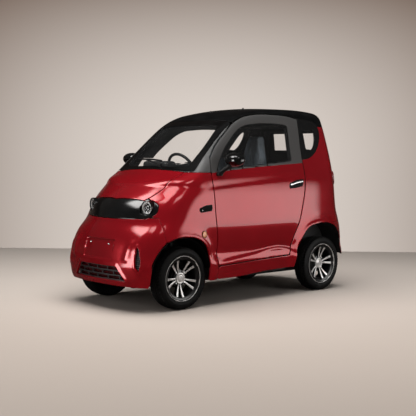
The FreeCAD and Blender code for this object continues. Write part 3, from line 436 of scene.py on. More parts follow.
class Build:
    """Ways to turn points and faces into the car's pieces."""

    INWARD = -0.08

    @staticmethod
    def piece(name: str, shape: Mesh, body: str, finish: Material, slot: str,
              node: str | None = None, back: Material | None = None,
              angle: float = 35.0) -> bpy.types.Object:
        """Makes one smooth-shaded piece that rides on a body.

        Args:
            name: the piece's name.
            shape: its corner points in millimetres and the corners of each face.
            body: the CAD body it moves with.
            finish: its material.
            slot: the record's material slot; not used.
            node: the CAD node that it stands for, if any.
            back: the material of the faces that look into the car, if it is another.
            angle: edges sharper than this many degrees stay sharp.

        Returns:
            The new object.
        """
        points, faces = shape
        mesh = bpy.data.meshes.new(name)
        mesh.from_pydata((np.asarray(points, float) * MM).tolist(), [], [list(f) for f in faces])
        mesh.validate()
        mesh.shade_smooth()
        mesh.set_sharp_from_angle(angle=math.radians(angle))
        mesh.materials.append(finish)
        if back:
            mesh.materials.append(back)
            for face in mesh.polygons:
                outward = face.normal.dot(face.center - CABIN_MIDDLE)
                face.material_index = int(outward < Build.INWARD)
        item = put(name, mesh)
        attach(item, body)
        if node:
            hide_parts(node)
        LOG.info("%s: %d faces", name, len(mesh.polygons))
        return item

    @staticmethod
    def pair(stem: str, shape: Mesh, body: str, finish: Material, slot: str,
             node: str | None = None, back: Material | None = None) -> None:
        """Makes a left-hand piece and its mirrored twin.

        Args:
            stem: the pieces' name, before the side.
            shape: the left-hand mesh.
            body: the body that each rides on, with {} for the side.
            finish: their material.
            slot: the record's material slot.
            node: the CAD node that each stands for, before the side, if any.
            back: the material of the faces that look into the car, if it is another.
        """
        for side, word in SIDES:
            part = shape if side > 0 else Build.mirrored(shape)
            Build.piece(f"{stem}_{word}", part, body.format(word), finish, slot,
                        node and f"{node}_{word}", back)

    @staticmethod
    def grid(rows: int, columns: int, start: int = 0, wrap_rows: bool = False,
             wrap_columns: bool = False, flip: bool = False) -> list[tuple[int, ...]]:
        """Returns the four-cornered faces of a grid of points."""
        faces = []
        for i in range(rows if wrap_rows else rows - 1):
            for j in range(columns if wrap_columns else columns - 1):
                i2, j2 = (i + 1) % rows, (j + 1) % columns
                f = [start + i * columns + j, start + i * columns + j2,
                     start + i2 * columns + j2, start + i2 * columns + j]
                faces.append(tuple(f[::-1] if flip else f))
        return faces

    @staticmethod
    def lathe(profile: Sequence[Pair], steps: int, place: Vector, axis: Vector,
              closed: bool = False) -> Mesh:
        """Returns points and faces of a profile turned about an axis.

        Args:
            profile: distance along the axis and radius.
            steps: how many parts the turn has.
            place: a point on the axis.
            axis: the way that the profile's first number runs.
            closed: whether the profile's end joins its start.
        """
        turn = Vector((0, 0, 1)).rotation_difference(axis.normalized()).to_matrix()
        along, side, up = (np.array(turn @ Vector(v)) for v in ((0, 0, 1), (1, 0, 0), (0, 1, 0)))
        angles = np.linspace(0, TURN, steps, endpoint=False)
        pts = [np.array(place) + along * a + (side * math.cos(t) + up * math.sin(t)) * r
               for a, r in profile for t in angles]
        faces = Build.grid(len(profile), steps, wrap_rows=closed, wrap_columns=True)
        if not closed:
            faces.append(tuple(range(steps))[::-1])
            last = (len(profile) - 1) * steps
            faces.append(tuple(range(last, last + steps)))
        return np.array(pts), faces

    @staticmethod
    def loft(sections: Sequence[Array], caps: bool = True) -> Mesh:
        """Returns points and faces of closed sections joined one after another."""
        count = len(sections[0])
        pts = np.concatenate([np.asarray(s, float) for s in sections])
        faces = Build.grid(len(sections), count, wrap_columns=True)
        if caps:
            faces.append(tuple(range(count))[::-1])
            faces.append(tuple(range((len(sections) - 1) * count, len(sections) * count)))
        return pts, faces

    @staticmethod
    def tube(path: Sequence[Numbers], radius: Numbers | float,
             steps: int = 16) -> Mesh:
        """Returns points and faces of a round bar along a path."""
        p = np.asarray(path, float)
        radii = np.broadcast_to(np.asarray(radius, float), (len(p),))
        ways = unit(np.gradient(p, axis=0))
        side = np.cross(ways[0], [0.13, 0.31, 0.94])
        sections = []
        for c, w, r in zip(p, ways, radii):
            side = side - w * (side @ w)
            side /= np.linalg.norm(side)
            up = np.cross(w, side)
            t = np.linspace(0, TURN, steps, endpoint=False)
            sections.append(c + r * (np.outer(np.cos(t), side) + np.outer(np.sin(t), up)))
        return Build.loft(sections)

    @staticmethod
    def join(*parts: Mesh) -> Mesh:
        """Returns several meshes as one."""
        pts, faces, start = [], [], 0
        for p, f in parts:
            pts.append(p)
            faces += [tuple(i + start for i in face) for face in f]
            start += len(p)
        return np.concatenate(pts), faces

    @staticmethod
    def mirrored(part: Mesh) -> Mesh:
        """Returns the same mesh on the other side of the car."""
        return part[0] * [-1, 1, 1], [tuple(f)[::-1] for f in part[1]]

    @staticmethod
    def both(part: Mesh) -> Mesh:
        """Returns a mesh and its mirrored twin as one."""
        return Build.join(part, Build.mirrored(part))

    @staticmethod
    def pad(low: Numbers, high: Numbers, soft: float = 0.35, cells: int = 8,
            bulge: Numbers = (0, 0, 0)) -> Mesh:
        """Returns a block with rounded edges and crowned faces.

        Args:
            low: its lowest corner.
            high: its highest corner.
            soft: how much of each half is taken by the rounding, from 0 to 1.
            cells: faces along each edge.
            bulge: how far the faces crown out along each axis.
        """
        bm = bmesh.new()
        bmesh.ops.create_cube(bm, size=2)
        bmesh.ops.subdivide_edges(bm, edges=bm.edges[:], cuts=cells - 1, use_grid_fill=True)
        half = (np.array(high, float) - np.array(low, float)) / 2
        centre = (np.array(high, float) + np.array(low, float)) / 2
        r = soft * half.min()
        q = np.array([v.co for v in bm.verts])
        q = np.sign(q) * np.abs(np.sin(q * math.pi / 2)) ** 0.8 * half
        core = np.clip(q, -(half - r), half - r)
        away = q - core
        length = np.linalg.norm(away, axis=1, keepdims=True)
        way = np.where(length > TINY, away / np.maximum(length, TINY), 0)
        q = core + way * np.minimum(length, r)
        f = 1 - np.clip(np.abs(q / half), 0, 1) ** 2
        for k in range(3):
            i, j = [n for n in range(3) if n != k]
            q[:, k] += np.sign(q[:, k]) * bulge[k] * f[:, i] * f[:, j]
        faces = [tuple(v.index for v in face.verts) for face in bm.faces]
        bm.free()
        return q + centre, faces

    @staticmethod
    def turned(part: Mesh, degrees: float, axis: str,
               about: Numbers) -> Mesh:
        """Returns a mesh turned about a line along one axis."""
        turn = np.array(Matrix.Rotation(math.radians(degrees), 3, axis))
        centre = np.array(about, float)
        return (part[0] - centre) @ turn.T + centre, part[1]


@dataclass
class Panel:
    """A piece of the skin with a rolled edge: laid over lines, cut to fields, given depth."""

    RATES = (0.2, 1.2)
    SNAP_REACH = 0.32
    SNAP_RATE = 0.3
    INNER_LIFT = 0.6
    ROLL_ANGLES = (35, 65, 90)

    family: Rays
    rows: Numbers
    columns: Numbers
    fields: Sequence[Field]
    depth: float = 0.0
    wall: float = 12.0
    roll: float = 2.0
    press: Field | None = None

    def surface(self, row: Array, column: Array) -> Array:
        """Returns the points of the skin on given lines."""
        return SKIN.hit(*self.family.lines(row, column))

    @staticmethod
    def true_distance(f: Array, p: Array) -> Array:
        """Returns a field on a grid as a distance along its surface."""
        fu, fv = np.gradient(f)
        pu, pv = np.gradient(p, axis=0), np.gradient(p, axis=1)
        e, g, m = (pu * pu).sum(-1), (pv * pv).sum(-1), (pu * pv).sum(-1)
        rate = (g * fu * fu - 2 * m * fu * fv + e * fv * fv) / np.maximum(e * g - m * m, 1e-6)
        return f / np.clip(np.sqrt(np.maximum(rate, 0)), *Panel.RATES)

    def mesh(self) -> Mesh:
        """Returns the panel's points and faces, closed all round."""
        row, column = np.meshgrid(np.asarray(self.rows, float), np.asarray(self.columns, float),
                                  indexing="ij")
        p = self.surface(row, column)
        s = np.min([self.true_distance(f(p), p) for f in self.fields], axis=0) - self.roll
        row, column, s = self.snap(row, column, p, s)
        p = self.surface(row, column)
        n_rows, n_columns = s.shape
        index = np.full(s.shape, -1)
        inside = s >= 0
        faces: list[tuple[int, ...]] = []
        index[inside] = np.arange(inside.sum())
        pts_rc: list[Pair] = list(zip(row[inside], column[inside]))
        crossings: dict[tuple, int] = {}

        def crossing(a: tuple[int, int], b: tuple[int, int]) -> int:
            """Returns the point where the edge of the panel crosses a line of the grid."""
            key = (a, b) if a < b else (b, a)
            if key not in crossings:
                t = s[a] / (s[a] - s[b])
                crossings[key] = len(pts_rc)
                pts_rc.append((row[a] + t * (row[b] - row[a]),
                               column[a] + t * (column[b] - column[a])))
            return crossings[key]

        for i in range(n_rows - 1):
            for j in range(n_columns - 1):
                corners = [(i, j), (i, j + 1), (i + 1, j + 1), (i + 1, j)]
                held = [inside[c] for c in corners]
                if not any(held):
                    continue
                if all(held):
                    faces.append(tuple(int(index[c]) for c in corners))
                    continue
                loop = []
                for k, c in enumerate(corners):
                    after = corners[(k + 1) % 4]
                    if inside[c]:
                        loop.append(int(index[c]))
                    if inside[c] != inside[after]:
                        on = c if inside[c] else after
                        if s[on] > 1e-6:
                            loop.append(crossing(c, after) if inside[c] else crossing(after, c))
                loop = [v for k, v in enumerate(loop) if v != loop[k - 1]]
                if len(loop) >= 3:
                    faces.append(tuple(loop))
        rc = np.array(pts_rc)
        base = self.surface(rc[:, 0], rc[:, 1])
        return self.thicken(base, faces)

    def snap(self, row: Array, column: Array, p: Array,
             s: Array) -> tuple[Array, Array, Array]:
        """Returns the grid with its points that nearly touch the edge moved onto it."""
        su, sv = np.gradient(s)
        pu, pv = np.gradient(p, axis=0), np.gradient(p, axis=1)
        e, g, m = (pu * pu).sum(-1), (pv * pv).sum(-1), (pu * pv).sum(-1)
        det = np.maximum(e * g - m * m, 1e-6)
        gu, gv = (g * su - m * sv) / det, (e * sv - m * su) / det
        rate = np.maximum(gu * su + gv * sv, TINY)
        du, dv = -s * gu / rate, -s * gv / rate
        near = (np.abs(du) < self.SNAP_REACH) & (np.abs(dv) < self.SNAP_REACH)
        near &= rate > self.SNAP_RATE
        row_step, column_step = np.gradient(row, axis=0), np.gradient(column, axis=1)
        row = np.where(near, row + du * row_step, row)
        column = np.where(near, column + dv * column_step, column)
        return row, column, np.where(near, 0.0, s)

    def thicken(self, base: Array, faces: list) -> Mesh:
        """Returns the outer sheet with its rolled edge, its walls and its inner sheet."""
        used = sorted({v for f in faces for v in f})
        again = {v: k for k, v in enumerate(used)}
        base = base[used]
        faces = [tuple(again[v] for v in f) for f in faces]
        normal = SKIN.normal(base)
        lift = self.press(base) if self.press else np.zeros(len(base))
        outer = base + normal * (lift - self.depth)[:, None]
        centre = outer[list(faces[0])]
        turn = np.cross(centre[1] - centre[0], centre[2] - centre[0]) @ normal[faces[0][0]]
        if turn < 0:
            faces = [f[::-1] for f in faces]
        edges: dict[tuple[int, int], int] = {}
        for f in faces:
            for a, b in zip(f, f[1:] + f[:1]):
                edges[(a, b)] = edges.get((a, b), 0) + 1
        follow: dict[int, int] = {a: b for a, b in edges if (b, a) not in edges}
        count = len(outer)
        inner = base + normal * (lift * self.INNER_LIFT - self.depth - self.wall)[:, None]
        pts = [outer, inner]
        all_faces = list(faces) + [tuple(v + count for v in f[::-1]) for f in faces]
        start = 2 * count
        while follow:
            first = next(iter(follow))
            loop = [first]
            while loop[-1] in follow:
                loop.append(follow.pop(loop[-1]))
                if loop[-1] == first:
                    break
            if loop[-1] != first or len(loop) < 4:
                continue
            loop = loop[:-1]
            b, n = outer[loop], normal[loop]
            tangent = np.roll(b, -1, axis=0) - np.roll(b, 1, axis=0)
            tangent = tangent + 0.5 * (np.roll(tangent, 1, axis=0) + np.roll(tangent, -1, axis=0))
            out = np.cross(tangent, n)
            out /= np.maximum(np.linalg.norm(out, axis=1, keepdims=True), TINY)
            r = self.roll
            rings = [b + out * r * math.sin(t) - n * r * (1 - math.cos(t))
                     for t in np.radians(self.ROLL_ANGLES)]
            rings.append(b + out * r - n * max(self.wall - 0.5, r * 1.2))
            pts += rings
            k = len(loop)
            bands = [loop] + [[start + m * k + i for i in range(k)] for m in range(4)]
            bands.append([v + count for v in loop])
            for one, two in zip(bands, bands[1:]):
                for i in range(k):
                    j = (i + 1) % k
                    all_faces.append((one[i], two[i], two[j], one[j]))
            start += 4 * k
        return np.concatenate(pts), all_faces


def spread(low: float, high: float, step: float) -> Array:
    """Returns evenly spaced places no further apart than a step."""
    return np.linspace(low, high, max(2, int(math.ceil((high - low) / step)) + 1))


# Shading


class Val:
    """A socket's value in a shader expression; arithmetic on it adds Math nodes."""

    def __init__(self, graph: "Graph", socket: "bpy.types.NodeSocket") -> None:
        """Holds one output socket of a graph."""
        self.graph, self.socket = graph, socket

    def math(self, kind: str, *values: "Val | float") -> "Val":
        """Returns a Math node's output on these values."""
        return self.graph.add("Math", {"operation": kind}, dict(enumerate(values)))

    def __add__(self, other: "Val | float") -> "Val":
        """Returns the sum."""
        return self.math("ADD", self, other)

    __radd__ = __add__

    def __sub__(self, other: "Val | float") -> "Val":
        """Returns the difference."""
        return self.math("SUBTRACT", self, other)

    def __rsub__(self, other: "Val | float") -> "Val":
        """Returns the difference, taken from a number."""
        return self.math("SUBTRACT", other, self)

    def __mul__(self, other: "Val | float") -> "Val":
        """Returns the product."""
        return self.math("MULTIPLY", self, other)

    __rmul__ = __mul__

    def __truediv__(self, other: "Val | float") -> "Val":
        """Returns the quotient."""
        return self.math("DIVIDE", self, other)

    def __rtruediv__(self, other: "Val | float") -> "Val":
        """Returns a number divided by this value."""
        return self.math("DIVIDE", other, self)

    def __gt__(self, other: "Val | float") -> "Val":
        """Returns 1 where this value is the larger."""
        return self.math("GREATER_THAN", self, other)

    def ramp(self, low: float, high: float) -> "Val":
        """Returns a smooth rise from 0 at low to 1 at high."""
        return self.graph.add("MapRange", {"interpolation_type": "SMOOTHSTEP"},
                              {"Value": self, "From Min": low, "From Max": high})


class Graph:
    """The node tree of one material."""

    def __init__(self, name: str) -> None:
        """Makes an empty material."""
        self.material = bpy.data.materials.new(name)
        self.material.use_nodes = True
        self.tree = self.material.node_tree
        self.tree.nodes.clear()

    def add(self, kind: str, settings: dict | None = None, values: dict | None = None,
            out: int | str = 0) -> Val:
        """Adds a node.

        Args:
            kind: the node's type without its ShaderNode prefix.
            settings: its properties, or a ramp's stops.
            values: numbers, colours or values by input name or place.
            out: which output is returned.

        Returns:
            The chosen output.
        """
        node = self.tree.nodes.new("ShaderNode" + kind)
        for key, value in (settings or {}).items():
            if key == "stops":
                while len(node.color_ramp.elements) < len(value):
                    node.color_ramp.elements.new(0.5)
                for element, (at, color) in zip(node.color_ramp.elements, value):
                    element.position, element.color = at, (*color, 1)
            else:
                setattr(node, key, value)
        for key, value in (values or {}).items():
            if isinstance(value, Val):
                self.tree.links.new(value.socket, node.inputs[key])
            else:
                node.inputs[key].default_value = value
        return Val(self, node.outputs[out]) if len(node.outputs) else Val(self, None)

    def place(self, scale: Numbers = (1, 1, 1)) -> Val:
        """Returns the place on the object, scaled along each axis."""
        at = self.add("TexCoord", out="Object")
        return self.add("VectorMath", {"operation": "MULTIPLY"}, {0: at, 1: tuple(scale)})

    def noise(self, scale: float, detail: float = 3, stretch: Numbers = (1, 1, 1)) -> Val:
        """Returns soft noise from 0 to 1."""
        return self.add("TexNoise", {}, {"Vector": self.place(stretch), "Scale": scale,
                                         "Detail": detail})

    def cells(self, scale: float, stretch: Numbers = (1, 1, 1),
              out: str = "Distance") -> Val:
        """Returns a pattern of cells."""
        return self.add("TexVoronoi", {}, {"Vector": self.place(stretch), "Scale": scale}, out)

    def axes(self) -> tuple[Val, Val, Val]:
        """Returns the three coordinates on the object, in metres."""
        at = self.add("TexCoord", out="Object")
        split = self.add("SeparateXYZ", {}, {0: at})
        node = split.socket.node
        return tuple(Val(self, node.outputs[k]) for k in range(3))

    def mix(self, factor: Val | float, a: Val | tuple, b: Val | tuple) -> Val:
        """Returns a colour between two."""
        wide = [v if isinstance(v, Val) else (*v, 1) for v in (a, b)]
        return self.add("Mix", {"data_type": "RGBA"}, {0: factor, 6: wide[0], 7: wide[1]}, 2)

    def bump(self, height: Val, depth: float, strength: float = 1.0) -> Val:
        """Returns a normal bent by a height that goes from 0 to 1 over a depth in metres."""
        return self.add("Bump", {}, {"Strength": strength, "Distance": depth, "Height": height})

    def finish(self, **values: "Val | float | tuple") -> Material:
        """Adds the surface shader and returns the material.

        Args:
            values: the shader's inputs, with underscores for spaces.
        """
        named = {k.replace("_", " "): (*v, 1) if isinstance(v, tuple) and len(v) == 3 else v
                 for k, v in values.items()}
        surface = self.add("BsdfPrincipled", {}, named)
        self.add("OutputMaterial", {}, {"Surface": surface})
        return self.material


@dataclass(frozen=True)
class Paint:
    """Coated colour with fine metal flakes."""

    name: str
    color: tuple
    deep: tuple
    metallic: float = 0.3
    roughness: float = 0.22
    coat: float = 1.0

    def make(self) -> Material:
        """Returns the material."""
        g = Graph(self.name)
        flake = g.cells(1400, out="Color")
        soft = g.noise(2.2, 2)
        flake_value = g.add("SeparateColor", {}, {0: flake})
        color = g.mix(soft.ramp(0.3, 0.7) * 0.5 + flake_value * 0.25, self.deep, self.color)
        rough = self.roughness + (flake_value - 0.5) * 0.08
        return g.finish(Base_Color=color, Metallic=self.metallic, Roughness=rough,
                        Specular_IOR_Level=0.1, Coat_Weight=self.coat, Coat_Roughness=0.03,
                        Normal=g.bump(g.noise(700, 1), 0.00002, 0.4))


@dataclass(frozen=True)
class Plastic:
    """Moulded plastic, glossy or grained."""

    name: str
    color: tuple
    roughness: float = 0.5
    coat: float = 0.0
    grain: float = 0.00008
    scale: float = 420.0
    metallic: float = 0.0
    shine: float = 0.5

    def make(self) -> Material:
        """Returns the material."""
        g = Graph(self.name)
        worn = g.noise(9, 4)
        lighter = tuple(min(1.0, c * 1.5 + 0.003) for c in self.color)
        return g.finish(Base_Color=g.mix(worn.ramp(0.35, 0.75) * 0.6, self.color, lighter),
                        Roughness=self.roughness + (worn - 0.5) * 0.12, Metallic=self.metallic,
                        Coat_Weight=self.coat, Coat_Roughness=0.06,
                        Specular_IOR_Level=self.shine,
                        Normal=g.bump(g.cells(self.scale), self.grain, 0.5))


@dataclass(frozen=True)
class Metal:
    """Bare or plated metal with fine streaks."""

    name: str
    color: tuple
    roughness: float = 0.25
    streak: tuple = (1, 1, 60)
    depth: float = 0.00003

    def make(self) -> Material:
        """Returns the material."""
        g = Graph(self.name)
        lines = g.noise(40, 3, self.streak)
        darker = tuple(c * 0.8 for c in self.color)
        return g.finish(Base_Color=g.mix(lines, darker, self.color), Metallic=1.0,
                        Roughness=self.roughness * (0.75 + lines * 0.5),
                        Normal=g.bump(lines, self.depth, 0.3))


@dataclass(frozen=True)
class Pane:
    """Clear or tinted sheet glass or lens."""

    name: str
    color: tuple = (0.02, 0.024, 0.025)
    alpha: float = 0.3
    ior: float = 2.1
    ribs: float = 0.0

    def make(self) -> Material:
        """Returns the material."""
        g = Graph(self.name)
        smear = g.noise(5, 3)
        normal = {}
        if self.ribs:
            normal = {"Normal": g.bump(g.cells(self.ribs), 0.0004, 0.7)}
        return g.finish(Base_Color=self.color, Roughness=0.02 + smear.ramp(0.5, 0.9) * 0.03,
                        Alpha=self.alpha + (smear - 0.5) * 0.03, IOR=self.ior,
                        Coat_Weight=0.5, Coat_Roughness=0.02, **normal)


@dataclass(frozen=True)
class Rubber:
    """Tyre rubber with a fine grain bumped in all over."""

    name: str = "tyre_rubber_skin"

    def make(self) -> Material:
        """Returns the material."""
        g = Graph(self.name)
        dust = g.noise(14, 4)
        fine = g.noise(260, 2)
        color = g.mix(dust.ramp(0.4, 0.8) * 0.5, (0.004, 0.004, 0.0042), (0.012, 0.0115, 0.011))
        return g.finish(Base_Color=color, Roughness=0.56 + (dust - 0.5) * 0.2,
                        Specular_IOR_Level=0.2, Normal=g.bump(fine, 0.0003, 0.35))


@dataclass(frozen=True)
class Cloth:
    """Woven seat cloth, or the same under a clear film."""

    name: str
    color: tuple
    # The lighter colour: on the weave's threads, and on the raised folds as a painted highlight.
    light: tuple
    film: float = 0.0

    def make(self) -> Material:
        """Returns the material."""
        g = Graph(self.name)
        x, y, z = g.axes()
        warp = g.add("Math", {"operation": "SINE"}, {0: (x + y) * 2600})
        weft = g.add("Math", {"operation": "SINE"}, {0: z * 2600})
        weave = warp * weft * 0.5 + 0.5
        folds_and_painted_sheen = g.noise(9, 5, (1.6, 1.6, 0.55))
        height = weave * 0.15 * (1 - self.film) + folds_and_painted_sheen * (0.4 + self.film * 1.6)
        # The colour is lighter where the same noise raises the folds: a painted highlight on the
        # fold tops.
        color = g.mix(folds_and_painted_sheen.ramp(0.42, 0.62) * 0.7 + weave * 0.2, self.color, self.light)
        return g.finish(Base_Color=color, Roughness=0.85 - self.film * 0.55,
                        Coat_Weight=self.film * 0.8, Coat_Roughness=0.16,
                        Sheen_Weight=0.25 * (1 - self.film),
                        Normal=g.bump(height, 0.002 + 0.012 * self.film, 0.8))


class Finishes:
    """All the finishes of the car, made once."""

    def __init__(self) -> None:
        """Makes each material."""
        self.red = Paint("red_paint", (0.40, 0.006, 0.014), (0.32, 0.004, 0.010)).make()
        # A darker copy of the red paint: painted shade for the red backing deep behind the grille.
        self.deep_red = Paint("deep_red", (0.10, 0.003, 0.005), (0.07, 0.002, 0.003)).make()
        self.grey = Paint("grey_frame_paint", (0.15, 0.148, 0.146), (0.11, 0.108, 0.107), 0.5,
                          0.42, 0.35).make()
        self.silver = Paint("silver_grey_paint", (0.30, 0.30, 0.30), (0.22, 0.22, 0.22), 0.7,
                            0.3, 0.6).make()
        self.black = Plastic("gloss_black_skin", (0.003, 0.003, 0.0032), 0.16, 0.8, 0.0).make()
        self.matt = Plastic("matt_black_skin", (0.006, 0.006, 0.0065), 0.5).make()
        self.roof_black = Plastic("roof_black", (0.003, 0.0032, 0.0034), 0.3, shine=0.2).make()
        self.dull = Plastic("dull_black", (0.004, 0.004, 0.004), 0.6, shine=0.15).make()
        self.liner = Plastic("liner_black", (0.004, 0.004, 0.004), 0.85, grain=0.0003).make()
        self.cabin = Plastic("cabin_black", (0.007, 0.007, 0.0075), 0.6).make()
        self.roof_lining = Plastic("roof_lining_grey", (0.014, 0.014, 0.014), 0.85,
                                   scale=900).make()
        self.steel = Plastic("black_steel", (0.02, 0.02, 0.021), 0.45, metallic=0.6,
                             scale=160).make()
        self.floor_steel = Plastic("floor_black", (0.02, 0.02, 0.02), 0.7, scale=120).make()
        self.battery = Plastic("battery_grey", (0.06, 0.06, 0.065), 0.5, metallic=0.5).make()
        self.chrome = Metal("bright_plating", (0.82, 0.82, 0.83), 0.07, depth=0.0).make()
        self.alloy = Plastic("turned_alloy", (0.80, 0.79, 0.78), 0.28, grain=0.0,
                             metallic=0.45).make()
        self.dark_alloy = Plastic("wheel_black", (0.008, 0.008, 0.0085), 0.3, 0.6,
                                  metallic=0.3).make()
        # Steel far darker than bare steel: partly the drum's dark iron, partly painted shade inside
        # the wheel.
        self.disc = Metal("brake_steel_shade_darkened", (0.07, 0.068, 0.065), 0.45).make()
        self.rubber = Rubber().make()
        self.glass = Pane("window_glass", (0.1, 0.1, 0.1), 0.06).make()
        self.screen = Pane("screen_glass", (0.3, 0.3, 0.3), 0.02, 1.5).make()
        self.lens = Pane("lamp_cover", (0.2, 0.21, 0.22), 0.07, 2.0).make()
        self.amber = Pane("amber_prism", (0.78, 0.24, 0.03), 0.97, 1.6, ribs=420).make()
        self.tail = Pane("tail_lens", (0.20, 0.015, 0.02), 0.9, 1.6, ribs=300).make()
        self.white_lens = Pane("white_lens", (0.8, 0.8, 0.8), 0.9, 1.6, ribs=500).make()
        # Each cloth's second colour is laid on its raised folds as a painted highlight.
        self.film = Cloth("film_wrapped_seat", (0.075, 0.095, 0.11), (0.25, 0.30, 0.34), 0.9).make()
        self.cloth = Cloth("black_seat_cloth", (0.014, 0.014, 0.015), (0.035, 0.035, 0.037)).make()


# Parts of the car


def put(name: str, data: bpy.types.ID) -> bpy.types.Object:
    """Returns a new object of the scene with this data."""
    item = bpy.data.objects.new(name, data)
    bpy.context.scene.collection.objects.link(item)
    return item


@dataclass
class Bodywork:
    """The fixed painted panels, the roof, the screen with its surround and the side windows."""

    finishes: Finishes
    door_gap: float = 4.0
    gap: float = 2.5
    cell: float = 13.0
    lining: float = 82.0

    def build(self) -> None:
        """Makes every fixed panel."""
        self.wings()
        self.quarters()
        self.roof()
        self.screen_surround()
        self.side_windows()

    def wings(self) -> None:
        """Makes the front wings."""
        fields = [past(Y, -1128), past(Z, 1109, -1), DOOR.drop(self.door_gap), FRONT_ARCH.drop(),
                  either(past(Y, -478, -1), past(Z, 420)), past(Y, -320, -1),
                  only_where(BAND.drop(self.gap), past(Y, -900, -1)),
                  only_where(HOOD.drop(self.gap), past(Z, 800)),
                  either(past(Y, -1038.6), past(Z, 748.5)),
                  either(past(Z, 600), lambda p: p[..., Z] - SILL(p[..., Y])), past(X, 150)]
        panel = Panel(Rays.NOSE, spread(190, 1130, self.cell), spread(14, 124, 1.15), fields,
                      wall=14, press=relief)
        f = self.finishes
        Build.pair("wing", panel.mesh(), "body", f.red, "body_paint", "fender", f.liner)

    def quarters(self) -> None:
        """Makes the rear quarters, each with its sill, and the strips in their arches."""
        f = self.finishes
        fields = [DOOR.drop(self.door_gap), REAR_ARCH.drop(), QUARTER.drop(), past(Z, 1541, -1),
                  either(past(Y, 300), past(Z, 420, -1)), past(Y, -478),
                  either(past(Y, 560), lambda p: p[..., Z] - SILL(p[..., Y])),
                  either(past(Y, 1100, -1), past(Z, 330)),
                  only_where(TAILGATE.drop(self.door_gap), past(Y, 900)),
                  either(past(X, 457.5), past(Z, 565), past(Y, 1000, -1)),
                  either(past(X, 380), past(Y, 1000, -1)),
                  only_where(TAIL_LAMP.drop(0.8), past(Y, 900))]
        columns = np.concatenate([spread(20, 121, 1.2), spread(122, 151, 0.7)])
        rows = np.concatenate([spread(196, 480, 10), spread(492, 1650, self.cell)])
        panel = Panel(Rays.TAIL, rows, columns, fields, wall=14, press=relief)
        Build.pair("quarter", panel.mesh(), "body", f.red, "body_paint", "quarter", f.liner)
        loop = REAR_ARCH.loop[(REAR_ARCH.loop[:, 1] > 285)]
        away = unit(loop - (840, 255))
        rows = [np.stack([np.full(len(loop), x), *(loop + away * out).T], -1)
                for x, out in ((508, 7), (556, 7), (556, 11), (508, 11))]
        strip = np.concatenate(rows), Build.grid(4, len(loop), wrap_rows=True)
        Build.piece("rear_arch_strips", Build.both(strip), "body", f.liner, "matt_black")

    def roof(self) -> None:
        """Makes the roof, its lining and its two studs."""
        f = self.finishes
        fields = [ROOF_FRONT.keep(), past(Z, 1541.4), both_sides(DOOR.drop(self.door_gap)),
                  both_sides(QUARTER.drop(0.4)), past(Y, 1230, -1)]
        panel = Panel(Rays.ROOF, spread(-310, 1195, self.cell), spread(28, 152, 1.4), fields,
                      wall=12)
        Build.piece("roof_skin", panel.mesh(), "body", f.roof_black, "gloss_black", "roof_panel")
        lining = [ROOF_FRONT.keep(30), past(Z, 1556), both_sides(DOOR.drop(12)),
                  both_sides(QUARTER.drop(8)), past(Y, 1075, -1)]
        panel = Panel(Rays.ROOF, spread(-300, 1100, 30), spread(28, 152, 3), lining, depth=16,
                      wall=16, roll=4)
        Build.piece("roof_lining", panel.mesh(), "body", f.roof_lining, "cabin_plastic")
        for y, foot, word in ((-40, 1650.5, "front"), (375, 1700.0, "rear")):
            shape = [(-9, 12), (-1, 12), (0, 11), (0.3, 7), (6.8, 7), (8, 5.6), (8, 0.5)]
            part = Build.lathe(shape, 24, Vector((0, y, foot)), Vector((0, 0, 1)))
            Build.piece(f"roof_stud_{word}", part, "body", f.chrome, "gloss_black")

    def screen_surround(self) -> None:
        """Makes the screen, the black frame round it, the grey pillar strips and the linings."""
        f = self.finishes
        shared = [both_sides(DOOR.drop(self.door_gap)), past(Z, 1110.4), HOOD.drop(self.gap)]
        rows, columns = spread(-800, -150, 10), spread(20, 160, 1.2)
        panel = Panel(Rays.CABIN, rows, columns,
                      [SCREEN_FRAME.keep(), SCREEN_GLASS.drop(), *shared], wall=26)
        Build.piece("screen_frame", panel.mesh(), "body", f.black, "gloss_black",
                    "windshield_frame")
        fields = [SCREEN_FRAME.drop(0.4), past(X, 200), past(Y, -758), ROOF_FRONT.drop(0.4),
                  past(Y, 38, -1), *shared]
        panel = Panel(Rays.CABIN, rows, spread(20, 76, 0.8), fields, wall=26)
        Build.piece("pillar_strips", Build.both(panel.mesh()), "body", f.silver, "grey_trim",
                    "pillar_trims")
        moved = lambda p: DOOR_WINDOW.drop()(p - np.array([0, self.lining, -22]))
        panel = Panel(Rays.CABIN, spread(-560, 480, 16), spread(28, 70, 1.2),
                      [DOOR.keep(24), moved, past(Z, 1240)], depth=50, wall=8)
        Build.piece("pillar_linings", Build.both(panel.mesh()), "body", f.dull, "cabin_plastic")
        panel = Panel(Rays.CABIN, spread(-760, -240, 14), spread(35, 145, 1.6),
                      [SCREEN_GLASS.keep(0.6)], depth=3, wall=5, roll=0.8)
        Build.piece("screen_pane", panel.mesh(), "body", f.screen, "clear_glass", "windshield")

    def side_windows(self) -> None:
        """Makes the black rear side windows and their clear panes."""
        f = self.finishes
        rows, columns = spread(560, 960, 9), spread(34, 73, 0.9)
        shared = [QUARTER.keep(0.6), DOOR.drop(self.door_gap)]
        rim = Panel(Rays.CABIN, rows, columns, [*shared, QUARTER_LIGHT.drop()], depth=0.5,
                    wall=12).mesh()
        Build.piece("quarter_window_rims", Build.both(rim), "body", f.black, "gloss_black",
                    "quarter_windows")
        pane = Panel(Rays.CABIN, rows, columns, [QUARTER_LIGHT.keep(0.5)], depth=2.5, wall=4,
                     roll=0.6).mesh()
        Build.piece("quarter_window_panes", Build.both(pane), "body", f.screen, "clear_glass")


